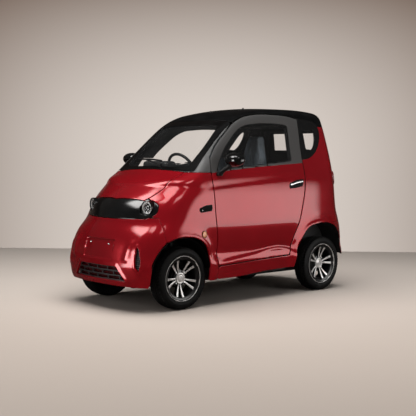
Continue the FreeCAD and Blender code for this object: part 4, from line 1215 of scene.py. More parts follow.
@dataclass
class Doors:
    """The two doors, each with its frame, glass and seal, handle and inner card."""

    finishes: Finishes
    gap: float = 4.0
    cell: float = 13.0

    def build(self) -> None:
        """Makes both doors."""
        f = self.finishes
        rows = np.concatenate([spread(-640, -440, 10), spread(-428, 400, self.cell),
                               spread(408, 720, 10)])
        columns = np.concatenate([spread(-44, -24, 0.7), spread(-23, 70, 1.15)])
        edge = DOOR.keep(self.gap)
        below = [edge, DOOR_WINDOW.drop(), lambda p: BELT(p[..., Y]) - p[..., Z]]
        above = [edge, DOOR_WINDOW.drop(), lambda p: p[..., Z] - BELT(p[..., Y]) - 0.2]
        card = [DOOR.keep(self.gap + 10), DOOR_WINDOW.drop(-1)]
        seal = [DOOR_WINDOW.keep(0.5), DOOR_WINDOW.drop(-11)]
        upper = spread(28, 70, 0.9)
        pane = Panel(Rays.CABIN, spread(-560, 560, 18), spread(28, 70, 1.8),
                     [DOOR_WINDOW.keep(0.6)], depth=3, wall=5, roll=0.8)
        parts = (
            ("door_skin", Panel(Rays.CABIN, rows, columns, below, wall=14, press=relief), f.red,
             "body_paint", "door", f.cabin),
            ("door_frame", Panel(Rays.CABIN, rows, upper, above, wall=14, press=relief), f.grey,
             "grey_trim", None, f.cabin),
            ("door_card", Panel(Rays.CABIN, spread(-640, 720, 26), spread(-44, 70, 2.6), card,
                                depth=14.6, wall=30, roll=5), f.cabin, "cabin_plastic", None,
             f.cabin),
            ("door_pane", pane, f.glass, "clear_glass", "door_glass", None),
            ("window_seal", Panel(Rays.CABIN, rows, upper, seal, depth=1.2, wall=3, roll=1.2),
             f.matt, "matt_black", None, f.cabin))
        for stem, panel, finish, slot, node, back in parts:
            Build.pair(stem, panel.mesh(), DOOR_BODY, finish, slot, node, back)
        self.handles()

    def handles(self) -> None:
        """Makes the cup and the bright bar of each outer handle."""
        f = self.finishes
        cup = Outline("x", [
            [(388, 1000), (398, 1018)], [(500, 1044), (588, 1052)],
            [(584, 1018), (570, 986)], [(480, 972), (392, 966)]])
        panel = Panel(Rays.CABIN, spread(370, 610, 4), spread(16, 31, 0.5), [cup.keep()],
                      depth=-1.5, wall=6, roll=3, press=relief).mesh()
        bar = Outline("x", [
            [(402, 1012)], [(500, 1036), (584, 1046)], [(580, 1024)], [(500, 1014), (404, 994)]])
        lift = lambda p: relief(p) + 11 * smooth_step((p[..., Y] - 396) / 26) \
            * smooth_step((592 - p[..., Y]) / 26)
        grip = Panel(Rays.CABIN, spread(370, 610, 4), spread(16, 31, 0.4), [bar.keep()],
                     depth=-3, wall=9, roll=3.5, press=lift).mesh()
        Build.pair("handle_cup", panel, DOOR_BODY, f.dull, "matt_black")
        Build.pair("handle_bar", grip, DOOR_BODY, f.chrome, "matt_black")


@dataclass
class Mirrors:
    """Door mirrors: a rounded shell on a stalk, with its glass at the back."""

    finishes: Finishes
    centre: tuple = (690.0, -407.0, 1218.0)
    half: tuple = (92.0, 62.0, 57.0)
    squareness: float = 2.4
    back: float = 0.62

    def shell(self) -> Mesh:
        """Returns the left shell: a rounded pod, cut flat at its back."""
        sections = []
        t = np.linspace(0, TURN, 32, endpoint=False)
        for u in np.linspace(-0.985, 0.985, 22):
            size = (1 - abs(u) ** self.squareness) ** (1 / self.squareness)
            ring = np.stack([np.full(32, u * self.half[0]), -np.cos(t) * self.half[1] * size,
                             np.sin(t) * self.half[2] * size * (1 - 0.08 * u)], -1)
            ring[:, 1] = np.minimum(ring[:, 1], self.half[1] * self.back)
            sections.append(ring + self.centre)
        return Build.loft(sections)

    def build(self) -> None:
        """Makes both mirrors."""
        f = self.finishes
        c, h = self.centre, self.half
        t = np.linspace(0, TURN, 40, endpoint=False)
        flat = c[1] + h[1] * self.back
        face = [np.stack([np.cos(t) * h[0] * 0.84 * k + c[0], np.full(40, flat + d),
                          np.sin(t) * h[2] * 0.80 * k + c[2]], -1)
                for k, d in ((1.0, -1.0), (1.0, 1.2), (0.97, 2.0), (0.5, 2.2))]
        glass = Build.loft(face)
        path = [(569, -462, 1098), (596, -452, 1124), (628, -436, 1150), (660, -420, 1178)]
        stalk = Build.tube(smooth_path(path, 6), np.interp(np.linspace(0, 1, 19), [0, 0.4, 1],
                                                          [24, 17, 19]), 20)
        foot = Build.pad((557, -497, 1082), (580, -430, 1112), 0.7, 5)
        for stem, mesh, finish, node in (
                ("mirror_shell", self.shell(), f.black, "mirror"),
                ("mirror_glass", glass, f.chrome, None),
                ("mirror_stalk", Build.join(stalk, foot), f.matt, None)):
            Build.pair(stem, mesh, DOOR_BODY, finish, "gloss_black", node)


def smooth_path(points: Sequence[Numbers], parts: int) -> Array:
    """Returns a smooth line in space through points."""
    p = np.array(points, float)
    at = np.arange(len(p), dtype=float)
    fine = np.linspace(0, len(p) - 1, (len(p) - 1) * parts + 1)
    return np.stack([Curve(list(zip(at, p[:, k])))(fine) for k in range(3)], -1)


@dataclass
class FrontEnd:
    """Bonnet, lamp band, headlamps, bumper, lower grille, side marks and wiper."""

    finishes: Finishes
    gap: float = 2.5
    lamp_at: tuple = (366.0, 824.0)
    lamp_radius: float = 56
    lamp_turn: float = 10.0
    start_y: float = -700.0
    reach: float = 1297.6

    def build(self) -> None:
        """Makes every piece of the front."""
        self.bonnet()
        self.band()
        self.lamps()
        self.bumper()
        self.grille()
        self.side_marks()
        self.wiper()

    def bonnet(self) -> None:
        """Makes the bonnet."""
        f = self.finishes
        panel = Panel(Rays.HOOD, spread(-425, 425, 11), spread(17, 97, 1.0),
                      [HOOD.keep(self.gap)], wall=14)
        Build.piece("bonnet_skin", panel.mesh(), "hood_body", f.red, "body_paint", "hood",
                    f.liner)

    def lamp_line(self) -> tuple[Array, Array]:
        """Returns the middle of the left lamp's face and the way it looks."""
        a = math.radians(self.lamp_turn)
        way = np.array([math.sin(a), -math.cos(a), 0])
        x, z = self.lamp_at
        return SKIN.spot((x, self.start_y, z), FRONTWARD)[0], way

    def band(self) -> None:
        """Makes the black band between the lamps."""
        centre, way = self.lamp_line()
        hole = self.lamp_radius + 1.5

        def off_lamp(p: Array) -> Array:
            """Returns how far points lie outside the lamp's round hole."""
            away = np.concatenate([np.abs(p[..., :1]), p[..., 1:]], -1) - centre
            return np.linalg.norm(away - (away @ way)[..., None] * way, axis=-1) - hole

        fields = [BAND.keep(self.gap / 2), HOOD.drop(self.gap), off_lamp]
        panel = Panel(Rays.NOSE, spread(700, 925, 6), spread(-78, 78, 0.9), fields, wall=24)
        Build.piece("lamp_band_skin", panel.mesh(), "body", self.finishes.black, "gloss_black",
                    "lamp_band")

    def lamps(self) -> None:
        """Makes each round headlamp: ring, bowl, projector, light ring and cover."""
        f, r = self.finishes, self.lamp_radius
        centre, way = self.lamp_line()
        at, axis = Vector(centre), Vector(way)
        ring = [(-24, r), (5, r), (8.5, r - 1), (9.5, r - 2.5), (8, r - 4), (0, r - 5),
                (-24, r - 6)]
        bowl = [(-20, r - 6), (-4, r - 6.5), (-8, r - 15), (-17, r - 26), (-21, 17), (-24, 8),
                (-26, 8), (-26, r - 6)]
        eye = [(-20, 19), (-8, 19), (-5, 17), (-4, 15.5), (-1, 12), (1.5, 7), (2.2, 0.6)]
        halo = [(-5, r - 7.5), (0.5, r - 8), (0.5, r - 15), (-7, r - 16)]
        cover = [(2, r - 4.5), (4, r - 12), (7, r - 26), (8.6, r - 38), (9, 2)]
        for name, profile, steps, closed, finish, node in (
                ("lamp_rings", ring, 72, True, f.black, "headlamps"),
                ("lamp_bowls", bowl, 72, True, f.chrome, None),
                ("lamp_eyes", eye, 48, False, f.dull, None),
                ("lamp_halos", halo, 72, True, f.white_lens, None),
                ("lamp_covers", cover, 72, False, f.lens, None)):
            mesh = Build.both(Build.lathe(profile, steps, at, axis, closed))
            Build.piece(name, mesh, "body", finish, "lamp_lens", node)

    def bumper_press(self, p: Array) -> Array:
        """Returns the bumper's pressed forms: plate recess, ridges and slot frames."""
        x, z = np.abs(p[..., X]), p[..., Z]
        q = np.concatenate([np.abs(p[..., :1]), p[..., 1:]], -1)
        out = relief(p)
        out = out - 8 * smooth_step(PLATE_RECESS.inside(p) / 7 + 0.5)
        slot = CORNER_SLOT.inside(q)
        out = out + 4 * smooth_step((slot + 26) / 18)
        ridge = np.exp(-((x - 352 - 0.15 * (z - 450)) / 34) ** 2)
        out = out + 7 * ridge * smooth_step((z - 380) / 60) * smooth_step((590 - z) / 60)
        mouth = LOWER_MOUTH.inside(p)
        out = out + 5 * smooth_step((mouth + 30) / 22)
        return np.minimum(out, p[..., Y] + self.reach)

    def bumper(self) -> None:
        """Makes the front bumper, its slot inserts and its plate screws."""
        f = self.finishes
        fields = [past(Z, 200), past(Z, 743.5, -1), past(Y, -1039.4, -1),
                  only_where(BAND.drop(self.gap), past(Y, -900, -1)),
                  both_sides(FRONT_ARCH.drop()), LOWER_MOUTH.drop(),
                  both_sides(CORNER_SLOT.drop())]
        panel = Panel(Rays.NOSE, spread(190, 770, 8), spread(-78, 78, 0.7), fields, wall=16,
                      press=self.bumper_press)
        Build.piece("bumper_skin", panel.mesh(), "body", f.red, "body_paint", "front_bumper")

        def louvres(p: Array) -> Array:
            """Returns the ribs of the corner slots."""
            return 2.2 * np.sin(p[..., Z] / 2.6)

        insert = Panel(Rays.NOSE, spread(320, 535, 1.6), spread(28, 64, 0.6),
                       [CORNER_SLOT.keep(-5)], depth=11, wall=4, roll=1, press=louvres).mesh()
        Build.piece("slot_inserts", Build.both(insert), "body", f.matt, "matt_black")
        screws = []
        for x in (-123, 123):
            spot = SKIN.spot((x, self.start_y, 530), FRONTWARD)[0]
            spot[Y] += 8
            head = [(-6, 3), (0, 3), (0.2, 8), (2, 8), (3.6, 6), (4.2, 3)]
            screws.append(Build.lathe(head, 20, Vector(spot), Vector(FRONTWARD)))
        Build.piece("plate_screws", Build.join(*screws), "body", f.chrome, "rim_alloy")

    def grille(self) -> None:
        """Makes the lower grille: a back in red paint darkened as painted shade, with a net of
        staggered bars before it.
        """
        f = self.finishes
        cell_wide, cell_high, bar, foot = 134.0, 37.0, 11.0, 247

        def net(p: Array) -> Array:
            """Returns a field that is above zero on the bars of the net."""
            row = np.floor((p[..., Z] - foot) / cell_high)
            up = (p[..., Z] - foot) - row * cell_high
            along = p[..., X] / cell_wide + 0.5 * (row % 2)
            post = np.abs(along - np.round(along)) * cell_wide
            return np.maximum(bar / 2 - np.minimum(up, cell_high - up), bar / 2 - post)

        rows, columns = spread(235, 365, 2.2), spread(-32, 32, 0.3)
        frame = lambda p: 6 - np.maximum(LOWER_MOUTH.inside(p), 0)
        bars = Panel(Rays.NOSE, rows, columns, [LOWER_MOUTH.keep(-3), either(net, frame)], depth=9,
                     wall=8, roll=0.6)
        Build.piece("grille_net", bars.mesh(), "body", f.matt, "matt_black", "lower_grille")
        back = Panel(Rays.NOSE, spread(235, 370, 10), spread(-34, 34, 1.2),
                     [LOWER_MOUTH.keep(-12)], depth=30, wall=3, roll=1)
        # The backing is red paint darkened to a painted shade.
        Build.piece("grille_back", back.mesh(), "body", f.deep_red, "matt_black")

    def side_marks(self) -> None:
        """Makes the side repeaters and the round amber reflectors on the wings."""
        f = self.finishes
        shape = Outline("x", [
            [(-640, 840), (-563, 848)], [(-558, 820), (-563, 796)],
            [(-683, 784)], [(-702, 802), (-698, 821)]])

        def bubbles(p: Array) -> Array:
            """Returns the small cells of the repeater's face."""
            u, v = p[..., Y] / 9.0, p[..., Z] / 9.0
            return relief(p) + 1.5 * np.cos(TURN * u) * np.cos(TURN * v)

        mark = Panel(Rays.NOSE, spread(770, 862, 2.2), spread(84, 108, 0.25), [shape.keep()],
                     depth=-4.5, wall=8, roll=3, press=bubbles).mesh()
        Build.piece("repeaters", Build.both(mark), "body", f.dull, "gloss_black")
        for stem, y, z, radius, rise, ring_finish, finish in (
                ("amber_reflector", -644, 606, 30, 5, f.matt, f.amber),
                ("repeater_eye", -676, 803, 9, 8, f.black, f.white_lens)):
            base = SKIN.spot((0, y, z), (1, 0, 0))
            normal = SKIN.normal(base)[0]
            at = Vector(base[0] + normal * relief(base)[0])
            ring = [(-6, radius), (rise, radius), (rise + 1.5, radius - 1.5), (rise, radius - 4),
                    (-6, radius - 4)]
            lens = [(-3, radius - 4), (rise - 1, radius - 4), (rise + 1, radius - 6),
                    (rise + 2, radius * 0.5), (rise + 2.3, 0.5)]
            for suffix, profile, closed, used in (("_rims", ring, True, ring_finish),
                                                  ("_lenses", lens, False, finish)):
                part = Build.both(Build.lathe(profile, 40, at, Vector(normal), closed))
                Build.piece(stem + suffix, part, "body", used, "lamp_lens")

    def wiper(self) -> None:
        """Makes the wiper arm, its blade and its pivot."""
        def on_screen(x: float, y: float, up: float) -> Array:
            """Returns a point a little above the screen."""
            spot = SKIN.spot((x, y, 1000), (0, 0, 1))
            return spot[0] + SKIN.normal(spot)[0] * up

        blade = np.array([on_screen(x, y, 5) for x, y in zip(np.linspace(70, -340, 24),
                                                            np.linspace(-667, -635, 24))])
        arm = [on_screen(98, -708, 14), on_screen(40, -696, 20), on_screen(-60, -676, 19),
               on_screen(-140, -660, 14)]
        pivot = Build.lathe([(-20, 12), (8, 12), (14, 11), (17, 8), (18, 2)], 24,
                            Vector(on_screen(98, -707, 2)), Vector((0, -0.5, 0.86)))
        spine = blade + [0, 0, 7]
        parts = Build.join(Build.tube(blade, 3.5, 8), Build.tube(spine, 4.5, 8),
                           Build.tube(smooth_path(arm, 8), np.linspace(9, 4.5, 25), 12), pivot)
        Build.piece("wiper_arm", parts, "body", self.finishes.matt, "matt_black", "wiper")


@dataclass
class TailEnd:
    """Rear bumper, tailgate with its window, seal and grip, and tail lamps."""

    finishes: Finishes
    gap: float = 2.5

    def build(self) -> None:
        """Makes every piece of the tail."""
        f = self.finishes
        columns = spread(-48, 48, 0.9)
        low = Panel(Rays.TAIL, spread(300, 600, 10), columns,
                    [past(Z, 320), past(Z, 565, -1), both_sides(past(X, 452.5, -1)),
                     TAILGATE.drop(4)], wall=16)
        Build.piece("rear_bumper_skin", low.mesh(), "body", f.red, "body_paint", "rear_bumper")

        def step(p: Array) -> Array:
            """Returns the bare recess for a plate and the crease under the window."""
            z = p[..., Z]
            plate = np.minimum(190 - np.abs(p[..., X]), 62 - np.abs(z - 800))
            crease = 5 * smooth_step((z - 1090) / 24) * smooth_step((1150 - z) / 30)
            return crease - 7 * smooth_step(plate / 8 + 0.5)

        gate = Panel(Rays.TAIL, spread(550, 1545, 11), columns,
                     [TAILGATE.keep(4), REAR_WINDOW.drop(), past(Z, 1531, -1)], wall=16, press=step)
        Build.piece("tailgate_skin", gate.mesh(), "tailgate_body", f.red, "body_paint",
                    "tailgate", f.cabin)
        pane = Panel(Rays.TAIL, spread(1140, 1480, 14), spread(-38, 38, 1.4),
                     [REAR_WINDOW.keep(0.6)], depth=3, wall=5, roll=0.8)
        Build.piece("tailgate_pane", pane.mesh(), "tailgate_body", f.glass, "clear_glass",
                    "tailgate_glass")
        beside = lambda p: np.abs(p[..., X]) - 270
        frame = Panel(Rays.TAIL, spread(1150, 1515, 6), spread(-38, 38, 0.6),
                      [REAR_WINDOW.keep(0.5), either(past(Z, 1325, -1), past(Z, 1490), beside)],
                      depth=1.5, wall=9, roll=0.6)
        Build.piece("rear_window_border", frame.mesh(), "tailgate_body", f.dull, "gloss_black")
        seal = Panel(Rays.TAIL, spread(560, 1560, 10), columns,
                     [TAILGATE.drop(-14), TAILGATE.keep(-14)], depth=20, wall=6)
        Build.piece("tailgate_seal", seal.mesh(), "body", f.dull, "matt_black")
        lamp = Panel(Rays.TAIL, spread(960, 1150, 4), spread(20, 62, 0.5), [TAIL_LAMP.keep(0.3)],
                     depth=-11, wall=23, roll=8).mesh()
        Build.piece("tail_lenses", Build.both(lamp), "body", f.tail, "red_lens", "tail_lamps")
        grip = Build.pad((-70, 1186, 905), (70, 1204, 928), 0.8, 8)
        Build.piece("tailgate_grip", grip, "tailgate_body", f.matt, "matt_black")


@dataclass
class Wheels:
    """Four tyres with tread, alloy rims with five pairs of spokes, and brake drums."""

    finishes: Finishes
    radius: float = 255.0
    half: float = 72.5
    rim: float = 160.0
    half_rim: float = 56.0
    track: float = 478.5
    axles: tuple = (-833.0, 909.5)
    turns: tuple = (29.5, -9.4)
    steps: int = 360
    tread_rows: int = 45
    blocks: int = 60
    slant: float = 0.016
    groove: float = 6.0
    spokes_reach: tuple = (40, 20)

    def tyre(self) -> Mesh:
        """Returns a tyre about the X axis, with grooves round it and cuts across it."""
        r, h = self.radius, self.half
        wall = [(self.half_rim, self.rim + 1.5), (self.half_rim + 4, self.rim + 6),
                (h - 8.5, self.rim + 22), (h - 2, self.rim + 38), (h - 0.8, self.rim + 47),
                (h, self.rim + 49), (h, self.rim + 53), (h - 0.8, self.rim + 55),
                (h - 1.2, r - 33), (h - 3.5, r - 22), (h - 8, r - 12.5)]
        tread_at = np.linspace(h - 12, -(h - 12), self.tread_rows)
        crown = r - 0.8 - 5.5 * np.abs(tread_at / (h - 12)) ** 3
        steps = self.steps
        grooves = np.zeros(self.tread_rows)
        for at in (-37, -13, 13, 37):
            grooves = np.maximum(grooves, smooth_step(1.6 - np.abs(tread_at - at) / 2.6))
        profile = wall + list(zip(tread_at, crown)) + [(-a, b) for a, b in wall[::-1]]
        angle = np.linspace(0, TURN, steps, endpoint=False)
        rings = []
        first = len(wall)
        last = first + self.tread_rows
        for k, (a, b) in enumerate(profile):
            radius = np.full(steps, float(b))
            turn = angle * self.blocks / TURN + self.slant * abs(a)
            wide_cut = smooth_step(1.5 - np.abs(turn % 1 - 0.5) / 0.09)
            fine_cut = smooth_step(1.5 - np.abs((turn * 2) % 1 - 0.5) / 0.07) * 0.7
            if first <= k < last:
                cut = wide_cut if abs(a) > 41 else fine_cut * (13 < abs(a))
                radius -= self.groove * np.maximum(grooves[k - first], cut)
            elif k in (first - 1, last):
                radius -= self.groove / 2 * wide_cut
            rings.append((a, radius))
        rings += [(-self.half_rim, self.rim + 1.0), (self.half_rim, self.rim + 1.0)]
        pts = [np.stack([np.full(steps, a), b * np.cos(angle), b * np.sin(angle)], -1)
               for a, b in rings]
        return np.concatenate(pts), Build.grid(len(pts), steps, wrap_rows=True, wrap_columns=True)

    def barrel(self) -> Mesh:
        """Returns the rim's dark barrel and inner disc."""
        r, h = self.rim, self.half_rim
        profile = [(-h - 6, r + 9), (-h - 2, r + 9), (-h, r), (-20, r), (-10, r - 8), (20, r - 10),
                   (h, r), (h + 6, r + 23), (h + 9, r + 23), (h + 8, r + 8), (h, r - 6),
                   (22, r - 18), (-h, r - 9), (-h - 6, r - 4)]
        return Build.lathe(profile, 120, *AXLE, True)

    def lip(self) -> Mesh:
        """Returns the bright ring round the rim's face."""
        r, h = self.rim, self.half_rim
        profile = [(h + 7, r + 20.5), (h + 10.5, r + 21), (h + 13, r + 22.5), (h + 13, r + 24),
                   (h + 11, r + 25), (h + 6, r + 24)]
        return Build.lathe(profile, 120, *AXLE, True)

    def spoke(self, centre: float, way: float, face: bool) -> Mesh:
        """Returns one spoke: its bright face, or the dark body behind it.

        Args:
            centre: the angle of the pair that it belongs to, in degrees.
            way: which spoke of the pair, 1 or -1.
            face: whether the face is wanted.
        """
        foot, beyond = self.spokes_reach
        sections = []
        for u in np.linspace(0, 1, 14):
            reach = foot + u * (self.rim + beyond - foot)
            lean = math.radians(centre + way * (10.0 + 2.6 * u))
            half = 5.6 + 6.4 * u ** 1.3 + 5.0 * max(0.0, (u - 0.8) / 0.2) ** 2
            front = 34 + 32 * u ** 2 - 6 * (1 - u)
            depth = (front - 2.2, front) if face else (front - 26 - 8 * u, front - 2.0)
            grow = 0.0 if face else 1.6
            across = np.array([0, -math.sin(lean), math.cos(lean)])
            out = np.array([0, math.cos(lean), math.sin(lean)])
            corners = [(-1, 0), (-1, 0.7), (-0.8, 1), (0.8, 1), (1, 0.7), (1, 0)]
            sections.append([out * reach + across * (half + grow) * a
                             + np.array([depth[0] + (depth[1] - depth[0]) * b, 0, 0])
                             for a, b in corners])
        return Build.loft([np.array(s) for s in sections])

    def hub(self) -> dict[str, Mesh]:
        """Returns the hub's body, its bright cap and the wheel bolts."""
        body = Build.lathe([(-20, 66), (14, 68), (19, 66), (22, 56), (24, 20)], 48, *AXLE)
        cap = Build.lathe([(20, 45), (31, 46), (34, 44), (35.5, 39), (34.5, 36), (34.5, 29),
                           (37, 25), (38, 14), (38, 0.5)], 48, *AXLE)
        bolts = []
        for i in range(4):
            t = math.radians(45 + 90 * i)
            spot = Vector((0, math.cos(t) * 60, math.sin(t) * 60))
            bolts.append(Build.lathe([(14, 9), (26, 9), (27.5, 7.5), (30, 7), (31, 4)], 12, spot,
                                     AXLE[1]))
        return {"hub_body": body, "hub_cap": cap, "bolts": Build.join(*bolts)}

    def build(self) -> None:
        """Makes the four wheels."""
        f = self.finishes
        tyre, barrel, lip, hub = self.tyre(), self.barrel(), self.lip(), self.hub()
        drum = Build.lathe([(-30, 34), (-30, 74), (-26, 80), (0, 80), (6, 75), (8, 52), (12, 46),
                            (12, 30)], 96, *AXLE)
        pairs = [(72 * i + 90, way) for i in range(5) for way in (-1, 1)]
        faces = Build.join(*[self.spoke(*at, True) for at in pairs], lip, hub["hub_cap"])
        dark = Build.join(*[self.spoke(*at, False) for at in pairs], barrel, hub["hub_body"])
        for side, word in SIDES:
            for end, y, turn in zip(("front", "rear"), self.axles, self.turns):
                corner = f"{end}_{word}"
                for stem, mesh, finish, slot, node in (
                        ("tyre_tread", tyre, f.rubber, "tyre_rubber", "tyre"),
                        ("rim_dark", dark, f.dark_alloy, "rim_alloy", "rim"),
                        ("rim_faces", faces, f.alloy, "rim_alloy", None),
                        ("rim_bolts", hub["bolts"], f.chrome, "rim_alloy", None),
                        # The drum takes the steel darkened as painted shade.
                        ("drum", drum, f.disc, "frame_steel", None)):
                    if stem in ("rim_dark", "rim_faces"):
                        mesh = Build.turned(mesh, turn, "X", (0, 0, 0))
                    part = mesh if side > 0 else Build.mirrored(mesh)
                    place = (part[0] + [side * self.track, y, self.radius], part[1])
                    Build.piece(f"{stem}_{corner}", place, f"wheel_{corner}", finish, slot,
                                node and f"{node}_{corner}", angle=30)


@dataclass
class Cabin:
    """Seats, rear bench, dashboard and steering wheel."""

    finishes: Finishes
    seat_x: float = 255.0
    wheel_at: tuple = (-215.0, -182.0, 1108.0)
    column_tilt: float = 26.0
    rim_radius: float = 175
    rim_thick: float = 13.4

    def build(self) -> None:
        """Makes what shows inside the car."""
        self.seats()
        self.bench()
        self.dashboard()
        self.steering()

    def seat_shape(self, kind: str) -> Mesh:
        """Returns the left seat's cushion or back as a crowned pad with pressed channels."""
        x = self.seat_x
        if kind == "cushion":
            part = Build.pad((x - 202, -214, 352), (x + 202, 200, 468), 0.8, 26, (0, 6, 10))
            p = part[0]
            top = smooth_step((p[:, 2] - 440) / 20)
            p[:, 2] -= top * 5 * np.exp(-((np.abs(p[:, 0] - x) - 118) / 7) ** 2)
            p[:, 2] += top * 12 * smooth_step((np.abs(p[:, 0] - x) - 120) / 50)
            return part
        part = Build.pad((x - 196, 0, 0), (x + 196, 92, 1010), 0.75, 34, (0, 7, 0))
        p = part[0]
        z = p[:, 2]
        squeeze = 1 - 0.42 * smooth_step((z - 520) / 270) - 0.24 * smooth_step((z - 800) / 210)
        p[:, 0] = x + (p[:, 0] - x) * squeeze
        front = smooth_step((40 - p[:, 1]) / 30)
        p[:, 1] += front * (6 * np.exp(-((np.abs(p[:, 0] - x) - 115) / 8) ** 2) - 16
                            * smooth_step((np.abs(p[:, 0] - x) - 120) / 50)
                            * smooth_step((620 - z) / 120))
        p[:, 1] -= 34 * smooth_step((z - 640) / 300)
        turned = Build.turned(part, -9, "X", (x, 46, 0))
        return turned[0] + [0, 128, 424], turned[1]

    def wrap(self, part: Mesh, seed: int) -> Mesh:
        """Returns a seat's mesh with the folds of a loose film over it."""
        p = part[0]
        rng = np.random.default_rng(seed)
        away = unit(p - p.mean(axis=0))
        fold = np.zeros(len(p))
        for _ in range(14):
            w = rng.normal(size=3) * [0.05, 0.05, 0.016]
            fold += np.abs(np.sin(p @ w + rng.uniform(0, 6.28))) ** 6
        return p + away * (fold * 1.3 - 3.0)[:, None], part[1]

    def seats(self) -> None:
        """Makes the two front seats, both under a clear film, and their frames."""
        f = self.finishes
        frame = Build.join(Build.pad((105, -160, 251), (405, 170, 345), 0.3, 6),
                           Build.pad((75, 128, 330), (105, 190, 470), 0.5, 4),
                           Build.pad((405, 128, 330), (435, 190, 470), 0.5, 4))
        Build.piece("seat_frames", Build.both(frame), "body", f.cabin, "cabin_plastic")
        for side, word in SIDES:
            for kind in ("cushion", "back"):
                part = self.seat_shape(kind)
                part = self.wrap(part, 3 if kind == "back" else 5)
                part = part if side > 0 else Build.mirrored(part)
                node = "front_seats" if kind == "back" and side > 0 else None
                item = Build.piece(f"seat_{kind}_{word}", part, "body", f.film, "seat_cloth", node,
                                   angle=60)

    def bench(self) -> None:
        """Makes the small rear bench."""
        base = Build.pad((-342, 604, 562), (342, 884, 668), 0.7, 22, (0, 4, 8))
        x, z = base[0][:, 0], base[0][:, 2]
        base[0][:, 2] -= 5 * smooth_step((z - 640) / 15) * np.exp(-(x / 9) ** 2)
        back = Build.pad((-342, 892, 604), (342, 976, 1016), 0.7, 22, (0, 6, 0))
        for stem, part, node in (("bench_cushion", base, None), ("bench_back", back, "rear_seat")):
            item = Build.piece(stem, part, "body", self.finishes.cloth, "seat_cloth", node,
                               angle=60)

    def dashboard(self) -> None:
        """Makes the dashboard with its hood, its steering column and its screens."""
        f = self.finishes
        body = Build.pad((-488, -503, 818), (488, -312, 1003), 0.55, 22, (0, 8, 3))
        top = Build.pad((-398, -713, 1000), (398, -388, 1021), 0.9, 16)
        shelf = Build.pad((-448, -318, 902), (448, -204, 958), 0.8, 12)
        hood = Build.pad((-420, -500, 1000), (-60, -380, 1202), 0.6, 12)
        column = Build.tube([(-215, -478, 964), (-215, -330, 1036), (-215, -214, 1092)], 26, 20)
        Build.piece("dash_moulding", Build.join(body, top, shelf, hood, column), "body", f.cabin,
                    "cabin_plastic", "dashboard")
        screen = Build.join(Build.pad((-90, -318, 965), (90, -304, 1062), 0.5, 6),
                            Build.pad((-300, -294, 1008), (-130, -286, 1050), 0.5, 6))
        Build.piece("dash_screens", screen, "body", f.black, "gloss_black")

    def steering(self) -> None:
        """Makes the steering wheel."""
        rim = []
        u = np.linspace(0, TURN, 16, endpoint=False)
        r = self.rim_radius + self.rim_thick * np.cos(u)
        for t in np.linspace(0, TURN, 72, endpoint=False):
            rim.append(np.stack([r * math.cos(t), r * math.sin(t), self.rim_thick * np.sin(u)],
                                -1))
        ring = np.concatenate(rim), Build.grid(72, 16, wrap_rows=True, wrap_columns=True)
        hub = Build.lathe([(-33, 38), (-8, 44), (2, 44), (6, 40), (8, 30), (8.5, 2)], 40,
                          Vector((0, 0, 0)), Vector((0, 0, 1)))
        parts = [ring, hub]
        for i in range(3):
            t = math.radians(90 + 120 * i)
            arm = Build.pad((30, -13, -7), (172, 13, 5), 0.8, 6)
            spin = np.array(Matrix.Rotation(t, 3, "Z"))
            parts.append((arm[0] @ spin.T, arm[1]))
        p, faces = Build.join(*parts)
        lean = np.array(Matrix.Rotation(math.radians(-(90 - self.column_tilt)), 3, "X"))
        Build.piece("steering_wheel_rim", (p @ lean.T + self.wheel_at, faces),
                    "steering_wheel_body", self.finishes.matt, "matt_black", "steering_wheel")


@dataclass
class Underside:
    """Finishes for the pieces that keep their CAD shape."""

    finishes: Finishes
    nodes: dict

    def build(self) -> None:
        """Gives each kept node its finish."""
        f = self.finishes
        for name, finish in (("chassis_frame", f.steel), ("floor_pan", f.floor_steel),
                             ("battery_box", f.battery), ("rear_axle", f.steel),
                             ("front_suspension", f.steel), ("wheel_liners", f.liner),
                             ("knuckle_left", f.steel), ("knuckle_right", f.steel)):
            mesh = self.nodes[name].data
            mesh.materials.clear()
            mesh.materials.append(finish)
            LOG.info("%s: kept", name)


